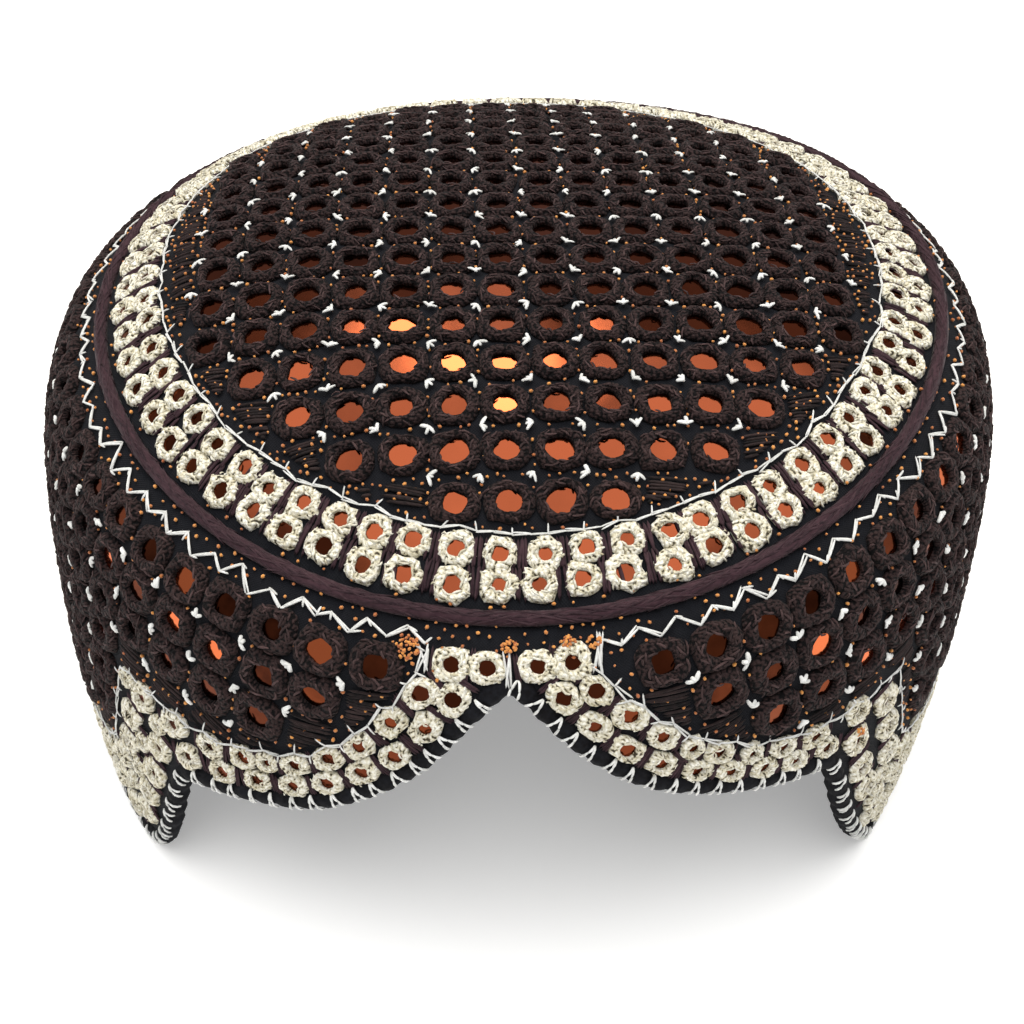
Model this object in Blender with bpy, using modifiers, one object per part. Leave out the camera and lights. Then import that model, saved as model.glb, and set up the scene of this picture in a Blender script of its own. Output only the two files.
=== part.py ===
"""Sindhi cap: a round cotton cap covered in mirror work, resting on its rim.

The cap is a domed crown sewn to a tall side band, with a plaited cord over the seam and a
rolled binding round the rim. The mirror work is a stitched layer on the cloth: a dark field and
a cream border on the crown, and the same two on the band. The front of the rim is cut up to a
point between two lobes, with a tail on each side that reaches the ground.

The origin is on the ground under the middle of the cap, +Z is up and the front faces -Y.
An azimuth is measured from the front, positive towards +X. A place on the band is given by its
azimuth and by the distance down the cloth from the seam.
"""
import math

import bmesh
import bpy
from mathutils import Vector

MM = 0.001

# Layers, from the outer face inwards, in millimetres: stitching, a gap, cloth. The gap under
# the stitching is wider, because flat facets run a little inside the round surface.
STITCH_THICKNESS = 1.2
STITCH_CLEARANCE = 0.5
LAYER_GAP = 0.3
SEAM_GAP = 0.8
CLOTH_THICKNESS = 2.4
CLOTH_DEPTH = STITCH_THICKNESS + STITCH_CLEARANCE

# The crown: its height, how far it falls to the seam, and the seam's own line. Its middle lies
# a little behind the middle of the cap, because the front lobes stand further out.
CROWN_BACK = 0.97
CROWN_TOP = 95.5
CROWN_ROUND = 10.0
CROWN_FALL_FRONT_BACK = 12.3
SEAM_RADIUS = 81.8
SEAM_HEIGHT = 79.5
SEAM_SADDLE = 3.9
SEAM_TILT = 3.2
SEAM_PULL_POWER = 6

# Mirror work on the crown: square cells, each whole one with a mirror sunk in its ring
MIRROR_PITCH = 8.8
MIRROR_COLUMNS = 14
MIRROR_ROWS = 15
FIELD_FORWARD = 6.9 - MIRROR_PITCH / 2
FIELD_TURN = 3.2
MIRROR_REACH = 7.5
MIRROR_RING_WIDTH = 1.9
MIRROR_SINK = 0.7
CELL_TOLERANCE = 0.1
CROWN_FIELD_RADIUS = 68.1
CROWN_BORDER_RADII = (68.9, 74.2, 79.6)
CROWN_CLOTH_RADII = (0.0, 24.0, 44.0, 58.0)

# Cord over the seam, and rolled binding round the rim
BRAID_RADIUS = 1.9
BINDING_RADIUS = 2.0
BINDING_DEPTH = 2.1
BINDING_PRESS = 0.3
BINDING_FLAT_BELOW = 0.45

# Lean of the side wall from the vertical, in degrees outwards, down the cloth from the seam
WALL_LEAN = (
    # down, at the sides and back, at the front
    (0.0, 66.0, 75.0),
    (15.0, 24.0, 26.0),
    (30.0, 2.0, 19.0),
    (55.0, -12.0, 20.0),
    (89.0, -28.0, 8.0),
    (110.0, -28.0, 8.0),
)

# Outline of the rim in front, down the cloth from the seam
RIM_CUT = (
    # azimuth, down on the -X side, down on the +X side
    (0.0, 12.2, 12.2),
    (2.0, 16.5, 15.7),
    (4.0, 20.3, 19.5),
    (6.0, 25.0, 23.3),
    (8.0, 29.2, 26.5),
    (11.0, 33.9, 31.0),
    (14.0, 37.8, 34.5),
    (17.0, 41.3, 37.1),
    (21.0, 44.5, 40.0),
    (25.0, 46.9, 42.6),
    (29.0, 49.4, 45.0),
    (32.0, 51.0, 46.4),
    (34.0, 52.6, 47.4),
    (34.8, 60.0, 53.0),
    (35.8, 69.0, 61.0),
    (37.2, 77.0, 69.0),
    (39.0, 83.0, 76.0),
)
TAIL_TIP_LEFT = -42.0
TAIL_TIP_RIGHT = 44.0

# Lower edge of the dark field on the band, above the cream border
FIELD_EDGE = (
    # azimuth, down on the -X side, down on the +X side
    (9.6, 11.2, 10.4),
    (10.4, 13.4, 12.0),
    (11.8, 16.6, 14.2),
    (14.5, 22.8, 19.2),
    (17.0, 27.0, 23.2),
    (20.5, 31.3, 27.6),
    (24.0, 33.9, 31.0),
    (29.0, 36.6, 33.9),
    (34.0, 38.0, 36.2),
    (40.0, 38.4, 36.8),
    (45.0, 38.6, 37.0),
    (45.7, 50.0, 47.0),
    (46.5, 61.5, 58.0),
    (51.0, 66.0, 62.5),
    (60.0, 68.0, 67.0),
    (181.0, 68.5, 68.5),
)
FIELD_TOP = 7.2
FIELD_START = 10.2
BORDER_TOP_AT_CUSP = 5.2
BORDER_CUSP_WIDTH = 9.2
BORDER_TURN_GAP = 0.35

# Azimuths of the columns that the band's sheets are built on, on one side of the front
FRONT_COLUMNS = (
    0.0, 2.0, 4.2, 6.8, 9.2, 10.2, 11.8, 14.5, 17.5, 21.0, 25.5, 30.0, 33.5, 35.5, 36.5,
    37.2, 38.0, 39.2, 40.8, 42.6, 44.2, 45.2, 46.4, 49.0, 52.5, 57.0, 63.0,
)
BACK_COLUMN_STEP = 9.0
CROWN_COLUMNS = 40
FIELD_ROWS = 4
BORDER_ROWS = 2

# Steps for walking along the rim and round the seam
GROUND_EDGE_STEP = 2.0
RIM_STEP = 1.0
RIM_SMOOTHING = 5
FRONT_STATION_STEP = 3.6
BACK_STATION_STEP = 9.0
BRAID_STATIONS = 60

# Plain colour and roughness of each piece
COTTON = (0.012, 0.013, 0.016, 0.90)
BROWN_FLOSS = (0.035, 0.019, 0.023, 0.75)
CREAM_FLOSS = (0.780, 0.740, 0.620, 0.80)
FINISHES = {
    "crown_cloth": COTTON,
    "side_band": COTTON,
    "rim_binding": COTTON,
    "crown_braid": BROWN_FLOSS,
    "crown_mirror_field": BROWN_FLOSS,
    "band_mirror_field": BROWN_FLOSS,
    "crown_cream_border": CREAM_FLOSS,
    "band_cream_border": CREAM_FLOSS,
}


def table_value(rows, key, column):
    """Read a column of a table at a key, in a straight line between its rows."""
    if key <= rows[0][0]:
        return rows[0][column]
    for low, high in zip(rows, rows[1:]):
        if key <= high[0]:
            share = (key - low[0]) / (high[0] - low[0])
            return low[column] + share * (high[column] - low[column])
    return rows[-1][column]


def wall_curve(column):
    """Walk down the cloth in steps of 1 mm: the distance out and the distance down."""
    out, drop = [0.0], [0.0]
    for step in range(int(WALL_LEAN[-1][0])):
        lean = math.radians(table_value(WALL_LEAN, step + 0.5, column))
        out.append(out[-1] + math.sin(lean))
        drop.append(drop[-1] + math.cos(lean))
    return out, drop


SIDE_CURVE = wall_curve(1)
FRONT_CURVE = wall_curve(2)


def along(values, distance):
    """Value of a wall curve at a distance down the cloth."""
    low = min(max(int(distance), 0), len(values) - 2)
    return values[low] + (distance - low) * (values[low + 1] - values[low])


def seam_height(angle):
    """Height of the seam: higher at the sides, and a little lower on the -X side."""
    return SEAM_HEIGHT - SEAM_SADDLE * math.cos(2 * angle) + SEAM_TILT * math.sin(angle)


def wall_surface(azimuth, down):
    """Point on the outer face of the side wall."""
    angle = math.radians(azimuth)
    front = ((1 + math.cos(angle)) / 2) ** 2
    out = along(SIDE_CURVE[0], down) * (1 - front) + along(FRONT_CURVE[0], down) * front
    drop = along(SIDE_CURVE[1], down) * (1 - front) + along(FRONT_CURVE[1], down) * front
    radius = SEAM_RADIUS + out
    return Vector((radius * math.sin(angle), -radius * math.cos(angle), seam_height(angle) - drop))


def crown_surface(azimuth, radius):
    """Point on the outer face of the crown, which meets the wall at the seam."""
    angle = math.radians(azimuth)
    share = radius / SEAM_RADIUS
    fall = CROWN_FALL_FRONT_BACK * math.cos(angle) ** 2
    edge = CROWN_TOP - fall - CROWN_ROUND
    height = CROWN_TOP - fall * share ** 2 - CROWN_ROUND * share ** 4
    height += (seam_height(angle) - edge) * share ** SEAM_PULL_POWER
    return Vector((radius * math.sin(angle), -radius * math.cos(angle), height))


def under(surface, azimuth, distance, depth):
    """Point a depth under a surface, square to it. The distance runs down or out along it."""
    step = 0.05
    distance = max(distance, step)
    here = surface(azimuth, distance)
    sideways = surface(azimuth + step, distance) - surface(azimuth - step, distance)
    onwards = surface(azimuth, distance + step) - surface(azimuth, distance - step)
    return here + sideways.cross(onwards).normalized() * depth


def down_to_ground(azimuth):
    """Distance down the cloth at which the pressed binding touches the ground."""
    low, high = 60.0, WALL_LEAN[-1][0] - 1
    for _ in range(30):
        middle = (low + high) / 2
        height = under(wall_surface, azimuth, middle - BINDING_RADIUS, BINDING_DEPTH).z
        if height > BINDING_RADIUS - BINDING_PRESS:
            low = middle
        else:
            high = middle
    return low


def between(first, last, count):
    """A number of equal steps from one value to another, both ends kept."""
    return [first + (last - first) * number / count for number in range(count + 1)]


def ground_edge(first, last):
    """The part of the rim that stands on the ground, between two azimuths."""
    count = math.ceil(abs(first - last) / GROUND_EDGE_STEP)
    return [(azimuth, down_to_ground(azimuth)) for azimuth in between(first, last, count)]


def evenly_spaced(points, step):
    """Walk a closed line of (azimuth, down) places on the wall in equal steps."""
    places = [wall_surface(*point) for point in points]
    lengths = [0.0]
    for first, second in zip(places, places[1:]):
        lengths.append(lengths[-1] + (second - first).length)
    count = round(lengths[-1] / step)
    walked, index = [], 0
    for number in range(count):
        target = lengths[-1] * number / count
        while lengths[index + 1] <= target:
            index += 1
        share = (target - lengths[index]) / (lengths[index + 1] - lengths[index])
        low, high = points[index], points[index + 1]
        walked.append((low[0] + share * (high[0] - low[0]), low[1] + share * (high[1] - low[1])))
    return walked


def neighbours(points, number):
    """The points before and after one on a closed line, with azimuths that don't jump."""
    before = points[number - 1]
    after = points[(number + 1) % len(points)]
    if number == 0:
        before = (before[0] - 360.0, before[1])
    if number == len(points) - 1:
        after = (after[0] + 360.0, after[1])
    return before, after


def softened(points):
    """Round the corners of a closed line a little."""
    soft = []
    for number, (azimuth, down) in enumerate(points):
        before, after = neighbours(points, number)
        soft.append(((before[0] + 2 * azimuth + after[0]) / 4, (before[1] + 2 * down + after[1]) / 4))
    return soft


def rim_outline():
    """The whole edge of the rim, from the back round by the -X side and the front."""
    left = ground_edge(-180.0, TAIL_TIP_LEFT)
    left += [(-row[0], row[1]) for row in reversed(RIM_CUT)]
    right = [(row[0], row[2]) for row in RIM_CUT[1:]]
    right += ground_edge(TAIL_TIP_RIGHT, 180.0)
    outline = evenly_spaced(left + right, RIM_STEP)
    for _ in range(RIM_SMOOTHING):
        outline = softened(outline)
    return outline


def moved_in(points, distance):
    """Shift a line round the rim up into the cloth, square to itself."""
    shifted = []
    for number, (azimuth, down) in enumerate(points):
        before, after = neighbours(points, number)
        forward = wall_surface(*after) - wall_surface(*before)
        across = wall_surface(azimuth + 0.1, down) - wall_surface(azimuth, down)
        below = wall_surface(azimuth, down + 0.1) - wall_surface(azimuth, down)
        inward = forward.cross(across.cross(below)).normalized()
        turn = inward.dot(across.normalized()) * 0.1 / across.length
        shifted.append((azimuth + turn * distance, down + inward.dot(below.normalized()) * distance))
    return shifted


def as_table(points):
    """Sort a line round the band into a table of azimuth and distance down."""
    rows = sorted(((azimuth + 180.0) % 360.0 - 180.0, down) for azimuth, down in points)
    before = (rows[-1][0] - 360.0, rows[-1][1])
    after = (rows[0][0] + 360.0, rows[0][1])
    return [before] + rows + [after]


def field_edge(azimuth):
    """Distance down to the lower edge of the dark field on the band."""
    return table_value(FIELD_EDGE, abs(azimuth), 1 if azimuth < 0 else 2)


def border_top(azimuth):
    """Distance down to the upper edge of the cream border on the band."""
    if abs(azimuth) <= BORDER_CUSP_WIDTH:
        return BORDER_TOP_AT_CUSP
    return field_edge(math.copysign(abs(azimuth) + BORDER_TURN_GAP, azimuth)) + LAYER_GAP


def half_columns():
    """Azimuths of the columns from the front round to the back, on one side."""
    last = FRONT_COLUMNS[-1]
    count = round((180.0 - last) / BACK_COLUMN_STEP)
    return list(FRONT_COLUMNS) + between(last, 180.0, count)[1:]


def crown_cloth_radius(azimuth):
    """Radius to which the crown's cloth runs, so that its edge meets the band's."""
    band_edge = under(wall_surface, azimuth, LAYER_GAP, CLOTH_DEPTH).xy.length - SEAM_GAP
    low, high = SEAM_RADIUS - 5.0, SEAM_RADIUS + 5.0
    for _ in range(20):
        middle = (low + high) / 2
        if under(crown_surface, azimuth, middle, CLOTH_DEPTH).xy.length < band_edge:
            low = middle
        else:
            high = middle
    return low


def finish(name):
    """Plain material of a piece."""
    red, green, blue, roughness = FINISHES[name]
    material = bpy.data.materials.new(name)
    material.use_nodes = True
    shader = material.node_tree.nodes["Principled BSDF"]
    shader.inputs["Base Color"].default_value = (red, green, blue, 1.0)
    shader.inputs["Roughness"].default_value = roughness
    return material


def add_piece(name, mesh, collection):
    """Put a mesh in the collection as a named piece with its own material."""
    piece = bpy.data.objects.new(name, mesh)
    piece.location.y = CROWN_BACK * MM
    mesh.materials.clear()
    mesh.materials.append(finish(name))
    collection.objects.link(piece)
    mesh.shade_smooth()
    mesh.set_sharp_from_angle(angle=math.radians(40))
    return piece


def sheet_mesh(name, columns):
    """A grid shaped to the given columns of points, welded where its ends meet."""
    shape = bmesh.new()
    across, down = len(columns) - 1, len(columns[0]) - 1
    bmesh.ops.create_grid(shape, x_segments=across, y_segments=down, size=0.5)
    for vertex in shape.verts:
        column = round((vertex.co.x + 0.5) * across)
        row = round((0.5 - vertex.co.y) * down)
        vertex.co = columns[column][row] * MM
    bmesh.ops.remove_doubles(shape, verts=shape.verts, dist=0.00001)
    mesh = bpy.data.meshes.new(name)
    shape.to_mesh(mesh)
    shape.free()
    return mesh


def add_sheet(name, columns, thickness, collection):
    """Build a sheet as a piece, with its thickness inwards from the face it is drawn on."""
    piece = add_piece(name, sheet_mesh(name, columns), collection)
    solid = piece.modifiers.new("thickness", "SOLIDIFY")
    solid.thickness = thickness * MM
    solid.offset = -1.0
    return piece


def band_sheet(azimuths, rows, depth):
    """Columns of points on the band, on the rows given for each azimuth."""
    return [[under(wall_surface, azimuth, down, depth) for down in rows(azimuth)]
            for azimuth in azimuths]


def add_band_pieces(outline, collection):
    """The side band's cloth, and the dark field and cream border stitched on it."""
    cloth_line = as_table(moved_in(outline, 2 * BINDING_RADIUS + LAYER_GAP))
    half = half_columns()
    around = [-azimuth for azimuth in reversed(half[1:])] + half
    field_around = [azimuth for azimuth in half if azimuth >= FIELD_START]
    field_around += [-azimuth for azimuth in reversed(field_around[:-1])]

    def border_rows(azimuth):
        return between(border_top(azimuth), table_value(cloth_line, azimuth, 1), BORDER_ROWS)

    def field_rows(azimuth):
        return between(FIELD_TOP, field_edge(azimuth), FIELD_ROWS)

    def cloth_rows(azimuth):
        border = border_rows(azimuth)
        top = min(FIELD_TOP, border[0] / 2)
        return [LAYER_GAP] + between(top, border[0], FIELD_ROWS) + border[1:]

    add_sheet("side_band", band_sheet(around, cloth_rows, CLOTH_DEPTH), CLOTH_THICKNESS, collection)
    border = band_sheet(around, border_rows, 0.0)
    add_sheet("band_cream_border", border, STITCH_THICKNESS, collection)
    field = band_sheet(field_around, field_rows, 0.0)
    add_sheet("band_mirror_field", field, STITCH_THICKNESS, collection)


def crown_columns(radii, depth):
    """Columns of points on the crown, each from the inner radius to the outer one."""
    columns = []
    for number in range(CROWN_COLUMNS + 1):
        azimuth = 360.0 * number / CROWN_COLUMNS
        columns.append([under(crown_surface, azimuth, radius, depth) for radius in radii(azimuth)])
    return columns


def add_crown_sheets(collection):
    """The crown's cloth, and the cream border stitched near its edge."""
    border = crown_columns(lambda azimuth: CROWN_BORDER_RADII, 0.0)
    add_sheet("crown_cream_border", border, STITCH_THICKNESS, collection)
    radii = CROWN_CLOTH_RADII + CROWN_BORDER_RADII
    cloth = crown_columns(lambda azimuth: radii + (crown_cloth_radius(azimuth),), CLOTH_DEPTH)
    middle = crown_surface(0.0, 0.0) - Vector((0.0, 0.0, CLOTH_DEPTH))
    for column in cloth:
        column[0] = middle
    add_sheet("crown_cloth", cloth, CLOTH_THICKNESS, collection)


def evaluated_mesh(piece):
    """The mesh of a piece with its modifiers or its curve's thickness made real."""
    bpy.context.view_layer.update()
    graph = bpy.context.evaluated_depsgraph_get()
    return bpy.data.meshes.new_from_object(piece.evaluated_get(graph))


def is_whole(area):
    """Whether a cell's area, seen from above, is that of a square that isn't cut."""
    return abs(area / MIRROR_PITCH ** 2 - 1) < CELL_TOLERANCE


def flat_cell_grid():
    """Square cells over the crown, cut to the field's circle and still flat."""
    turn = math.radians(FIELD_TURN)
    shape = bmesh.new()
    bmesh.ops.create_grid(shape, x_segments=MIRROR_COLUMNS, y_segments=MIRROR_ROWS, size=0.5)
    for vertex in shape.verts:
        across = vertex.co.x * MIRROR_COLUMNS * MIRROR_PITCH
        onwards = vertex.co.y * MIRROR_ROWS * MIRROR_PITCH - FIELD_FORWARD
        vertex.co.x = across * math.cos(turn) - onwards * math.sin(turn)
        vertex.co.y = across * math.sin(turn) + onwards * math.cos(turn)
    reach = MIRROR_REACH * MIRROR_PITCH
    outside = [face for face in shape.faces if face.calc_center_median().length > reach]
    bmesh.ops.delete(shape, geom=outside, context="FACES")
    edge = [vertex for vertex in shape.verts if vertex.is_boundary]
    for vertex in edge:
        vertex.co *= CROWN_FIELD_RADIUS / vertex.co.length
    cut = [face for face in shape.faces if not is_whole(face.calc_area())]
    bmesh.ops.triangulate(shape, faces=cut, quad_method="SHORT_EDGE")
    return shape


def add_crown_mirror_field(collection):
    """The crown's dark field: one sheet of cells, with a mirror sunk in each whole cell."""
    shape = flat_cell_grid()
    for vertex in shape.verts:
        azimuth = math.degrees(math.atan2(vertex.co.x, -vertex.co.y))
        vertex.co = under(crown_surface, azimuth, vertex.co.length, 0.0) * MM
    mesh = bpy.data.meshes.new("cells")
    shape.to_mesh(mesh)
    shape.free()
    sheet = bpy.data.objects.new("cells", mesh)
    collection.objects.link(sheet)
    solid = sheet.modifiers.new("thickness", "SOLIDIFY")
    solid.thickness = STITCH_THICKNESS * MM
    solid.offset = -1.0
    thick = evaluated_mesh(sheet)
    bpy.data.objects.remove(sheet)
    shape = bmesh.new()
    shape.from_mesh(thick)
    cells = [face for face in shape.faces
             if face.normal.z > 0.5 and is_whole(face.calc_area() * face.normal.z / MM ** 2)]
    bmesh.ops.inset_individual(shape, faces=cells, thickness=MIRROR_RING_WIDTH * MM,
                               depth=-MIRROR_SINK * MM, use_even_offset=True)
    shape.to_mesh(thick)
    shape.free()
    thick.name = "crown_mirror_field"
    add_piece("crown_mirror_field", thick, collection)


def cord_mesh(name, points, radius, collection):
    """A closed round cord through the given points, made a mesh."""
    curve = bpy.data.curves.new(name, "CURVE")
    curve.dimensions = "3D"
    curve.bevel_depth = radius * MM
    curve.bevel_resolution = 2
    spline = curve.splines.new("POLY")
    spline.points.add(len(points) - 1)
    for place, point in zip(spline.points, points):
        place.co = (*(point * MM), 1.0)
    spline.use_cyclic_u = True
    cord = bpy.data.objects.new(name + "_path", curve)
    collection.objects.link(cord)
    mesh = evaluated_mesh(cord)
    bpy.data.objects.remove(cord)
    mesh.name = name
    return mesh


def add_crown_braid(collection):
    """The plaited cord that lies over the seam."""
    depth = CLOTH_DEPTH - LAYER_GAP - BRAID_RADIUS
    points = [under(wall_surface, 360.0 * number / BRAID_STATIONS, 0.0, depth)
              for number in range(BRAID_STATIONS)]
    add_piece("crown_braid", cord_mesh("crown_braid", points, BRAID_RADIUS, collection), collection)


def binding_stations(line):
    """Places along the binding's middle: close together in front, wide apart behind."""
    kept = [line[0]]
    for azimuth, down in line:
        step = FRONT_STATION_STEP if abs(azimuth) < FRONT_COLUMNS[-4] else BACK_STATION_STEP
        if (wall_surface(azimuth, down) - wall_surface(*kept[-1])).length >= step:
            kept.append((azimuth, down))
    return kept


def add_rim_binding(outline, collection):
    """The rolled binding round the rim, pressed flat where it stands on the ground."""
    stations = binding_stations(moved_in(outline, BINDING_RADIUS))
    points = [under(wall_surface, azimuth, down, BINDING_DEPTH) for azimuth, down in stations]
    mesh = cord_mesh("rim_binding", points, BINDING_RADIUS, collection)
    for vertex in mesh.vertices:
        if vertex.co.z < BINDING_FLAT_BELOW * MM:
            vertex.co.z = 0.0
    add_piece("rim_binding", mesh, collection)


def main():
    """Clear the scene and build every piece of the cap."""
    for item in list(bpy.data.objects):
        bpy.data.objects.remove(item)
    collection = bpy.data.collections.new("sindhi_cap")
    bpy.context.scene.collection.children.link(collection)
    outline = rim_outline()
    add_crown_sheets(collection)
    add_crown_mirror_field(collection)
    add_crown_braid(collection)
    add_band_pieces(outline, collection)
    add_rim_binding(outline, collection)


if __name__ == "__main__":
    main()
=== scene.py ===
"""The looks of the sindhi cap: its cloth, stitched rings, mirrors, knots, seed stitches and cords.

Every size below is in millimetres and every angle in degrees unless it says otherwise. An azimuth
is measured from the front, positive towards +X. A place on the side wall is (azimuth, distance
down the cloth from the seam), and a place on the crown is (x, y) as seen from above.
"""
import math

import bpy
import numpy as np
from mathutils import Matrix, Vector


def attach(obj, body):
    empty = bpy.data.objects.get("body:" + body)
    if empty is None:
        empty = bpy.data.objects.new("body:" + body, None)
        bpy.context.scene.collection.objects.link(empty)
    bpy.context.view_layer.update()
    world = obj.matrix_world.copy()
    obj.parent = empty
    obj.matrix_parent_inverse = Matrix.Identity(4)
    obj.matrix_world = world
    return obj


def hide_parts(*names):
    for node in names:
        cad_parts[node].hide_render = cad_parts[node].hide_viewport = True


bl_info = {
    "name": "Sindhi cap",
    "version": (1, 0, 0),
    "blender": (4, 5, 0),
    "location": "3D View > Sidebar > Cap",
    "description": "Builds the cloth and the mirror work of a sindhi cap",
    "category": "Object",
}

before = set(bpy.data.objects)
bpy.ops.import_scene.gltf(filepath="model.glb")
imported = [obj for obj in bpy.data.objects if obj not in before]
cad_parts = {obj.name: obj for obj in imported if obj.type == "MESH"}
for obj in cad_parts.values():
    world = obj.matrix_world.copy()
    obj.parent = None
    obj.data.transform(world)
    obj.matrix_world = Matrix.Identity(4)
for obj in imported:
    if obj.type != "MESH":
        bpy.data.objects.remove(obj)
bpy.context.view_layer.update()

MM = 0.001

# The cap's form, as in the source of its solids
CROWN_BACK = 0.97
CROWN_TOP = 95.5
CROWN_ROUND = 10.0
CROWN_FALL_FRONT_BACK = 12.3
SEAM_RADIUS = 81.8
SEAM_HEIGHT = 79.5
SEAM_SADDLE = 3.9
SEAM_TILT = 3.2
SEAM_PULL_POWER = 6
WALL_LEAN = np.array((
    # down, at the sides and back, at the front
    (-10.0, 66.0, 75.0),
    (0.0, 66.0, 75.0),
    (15.0, 24.0, 26.0),
    (30.0, 2.0, 19.0),
    (55.0, -12.0, 20.0),
    (89.0, -28.0, 8.0),
    (110.0, -28.0, 8.0),
))
RIM_CUT = np.array((
    # azimuth, down on the -X side, down on the +X side
    (0.0, 12.2, 12.2), (2.0, 16.5, 15.7), (4.0, 20.3, 19.5), (6.0, 25.0, 23.3),
    (8.0, 29.2, 26.5), (11.0, 33.9, 31.0), (14.0, 37.8, 34.5), (17.0, 41.3, 37.1),
    (21.0, 44.5, 40.0), (25.0, 46.9, 42.6), (29.0, 49.4, 45.0), (32.0, 51.0, 46.4),
    (34.0, 52.6, 47.4), (34.8, 60.0, 53.0), (35.8, 69.0, 61.0), (37.2, 77.0, 69.0),
    (39.0, 83.0, 76.0),
))
TAIL_TIPS = (-42.0, 44.0)
FIELD_EDGE = np.array((
    # azimuth, down on the -X side, down on the +X side
    (9.6, 11.2, 10.4), (10.4, 13.4, 12.0), (11.8, 16.6, 14.2), (14.5, 22.8, 19.2),
    (17.0, 27.0, 23.2), (20.5, 31.3, 27.6), (24.0, 33.9, 31.0), (29.0, 36.6, 33.9),
    (34.0, 38.0, 36.2), (40.0, 38.4, 36.8), (45.0, 38.6, 37.0), (45.7, 50.0, 47.0),
    (46.5, 61.5, 58.0), (51.0, 66.0, 62.5), (60.0, 68.0, 67.0), (181.0, 68.5, 68.5),
))
RIM_STEP = 1.0
RIM_SMOOTHING = 5
GROUND_SEARCH = (60.0, 109.0)
GROUND_HALVINGS = 30
SURFACE_STEP = 0.05
NUDGE = 0.1

# Layers, as heights over the outer face of the stitching
CLOTH_FACE = -1.15
CLOTH_THICKNESS = 2.95
RING_FOOT = -1.3
MIRROR_LEVEL = -0.92
THREAD_LEVEL = -0.75
SEED_LEVEL = -0.62
KNOT_LEVEL = -0.2
LINE_LEVEL = -0.35
SEAM_LEVEL = -0.5

# Shapes that are repeated
RING_SPOKES = 16
RING_SIDES = 5
RING_PROFILE = np.array((
    # reach from the hole's edge, 0, to the outer edge, 1, and height
    (1.0, -0.62), (0.66, 0.42), (0.12, 0.24), (0.0, RING_FOOT), (0.97, RING_FOOT),
))
RING_WAVES = (2, 3, 4)
RING_WAVE_SIZE = 0.055
RING_LUMP_SIZE = 0.11
SPIKE_OVER = 0.93
SPIKE_SIZE = 2.2
MIRROR_SIDES = 14
MIRROR_TILT = 0.035
ANY_TURN = 6.28

# Threads over a ring: heights by the reach from the hole's edge, 0, to the outer edge, 1
THREAD_REACHES = (0.0, 0.12, 0.66, 1.0, 1.15)
THREAD_LEVELS = (0.05, 0.28, 0.46, -0.5, -0.9)
BROWN_WORK = {
    "rings": "brown buttonhole floss", "threads": "brown looped floss", "slot": "brown_floss",
    "squareness": 2.9, "width": 0.42,
    # number of threads, reach of their starts, reach of their ends, sweep
    "rows": ((7, 0.12, 0.5, 0.6), (7, 0.8, 0.45, 0.6), (5, 0.6, 1.04, 0.35)),
}
CREAM_WORK = {
    "rings": "cream buttonhole floss", "threads": "cream looped floss", "slot": "cream_floss",
    "squareness": 2.4, "width": 0.4,
    "rows": ((6, 0.2, 0.38, 0.9), (10, 0.55, 1.04, 0.1)),
}
CREAM_THICK = 0.78

# Mirror work on the crown
CROWN_COLUMNS = 14
CROWN_ROWS = 15
FIELD_FORWARD = 2.5
FIELD_TURN = math.radians(3.2)
CROWN_RING_REACH = 66.0
CROWN_CUT_REACH = 73.0
CROWN_KNOT_REACH = 64.5
CROWN_SATIN_REACH = 67.6
CROWN_SCATTER = (3600, 57.0, 69.0)
CROWN_SEED_GAP = 1.15
OUTER_SEED_COUNT = 96
OUTER_SEED_RADIUS = 80.0
CROWN_FEATHER_RADIUS = 69.3
CREAM_ROWS = ((72.4, -1.5), (77.1, -2.0))
CREAM_COUNT = 66
FEATHER_COUNT = 150
CREAM_SATIN_TURNS = (-0.85, -0.5, -0.15, 0.2, 0.5, 0.8)
CREAM_SATIN_RADII = ((69.9, 75.0), (74.2, 79.4))
CREAM_SATIN_START = -1.7
CREAM_ROW_SPLIT = 75.0

# Mirror work on the band
BAND_COLUMNS = 58
BAND_COLUMN_START = -10.74
BAND_COLUMN_PITCH = 360.0 / 61.0
BAND_KNOT_ROW = 14.5
BAND_MIRROR_ROW = 10.2
BAND_ROW_PITCH = 8.6
BAND_ROWS = 7
BAND_SCATTER = 30000
BAND_SEED_GAP = 1.6
BORDER_DEPTHS = (4.0, 26.0)
BORDER_STEP = 0.25
BORDER_ROWS = (0.26, 0.75)
BORDER_HEIGHTS = (4.5, 6.7)
BORDER_WIDTHS = (6.3, 7.0)
BORDER_FILL = (4.6, 4.5)
BORDER_FILL_DRAWN = (4.9, 4.5)
BORDER_FROM_RIM = 4.8
BORDER_FROM_FIELD = 1.9
CUSP_RINGS = (
    # azimuth, down, turn, width, height
    (-5.9, 8.0, 0.1, 6.6, 6.2), (-2.2, 8.2, 0.0, 6.6, 6.2),
    (3.0, 7.9, 0.0, 6.6, 6.2), (6.6, 7.6, -0.1, 6.8, 7.2),
)
BAND_TOP_SEEDS = 7.0
CUSP_HALF = 9.5
ZIGZAG_ENDS = (-9.0, 10.0 - 360.0)
ZIGZAG_JOINTS = 166
LONE_STITCHES = (
    # start, end, number of threads
    ((-0.2, 11.6), (0.1, 5.6), 3), ((9.7, 3.2), (9.2, 9.0), 5), ((-8.9, 5.2), (-8.4, 9.6), 3),
)
CLUSTERS = (
    # azimuth, down, radius
    (-10.6, 6.2, 2.1), (0.0, 4.6, 1.2), (6.2, 4.4, 1.3), (9.0, 4.6, 1.1), (38.5, 44.0, 1.2),
)
CLUSTER_SEEDS = 22

# Satin in the cells that the edge cuts
SATIN_SAMPLES = 31
SATIN_SPACING = 0.58
SATIN_LEAST = 1.6

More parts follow.
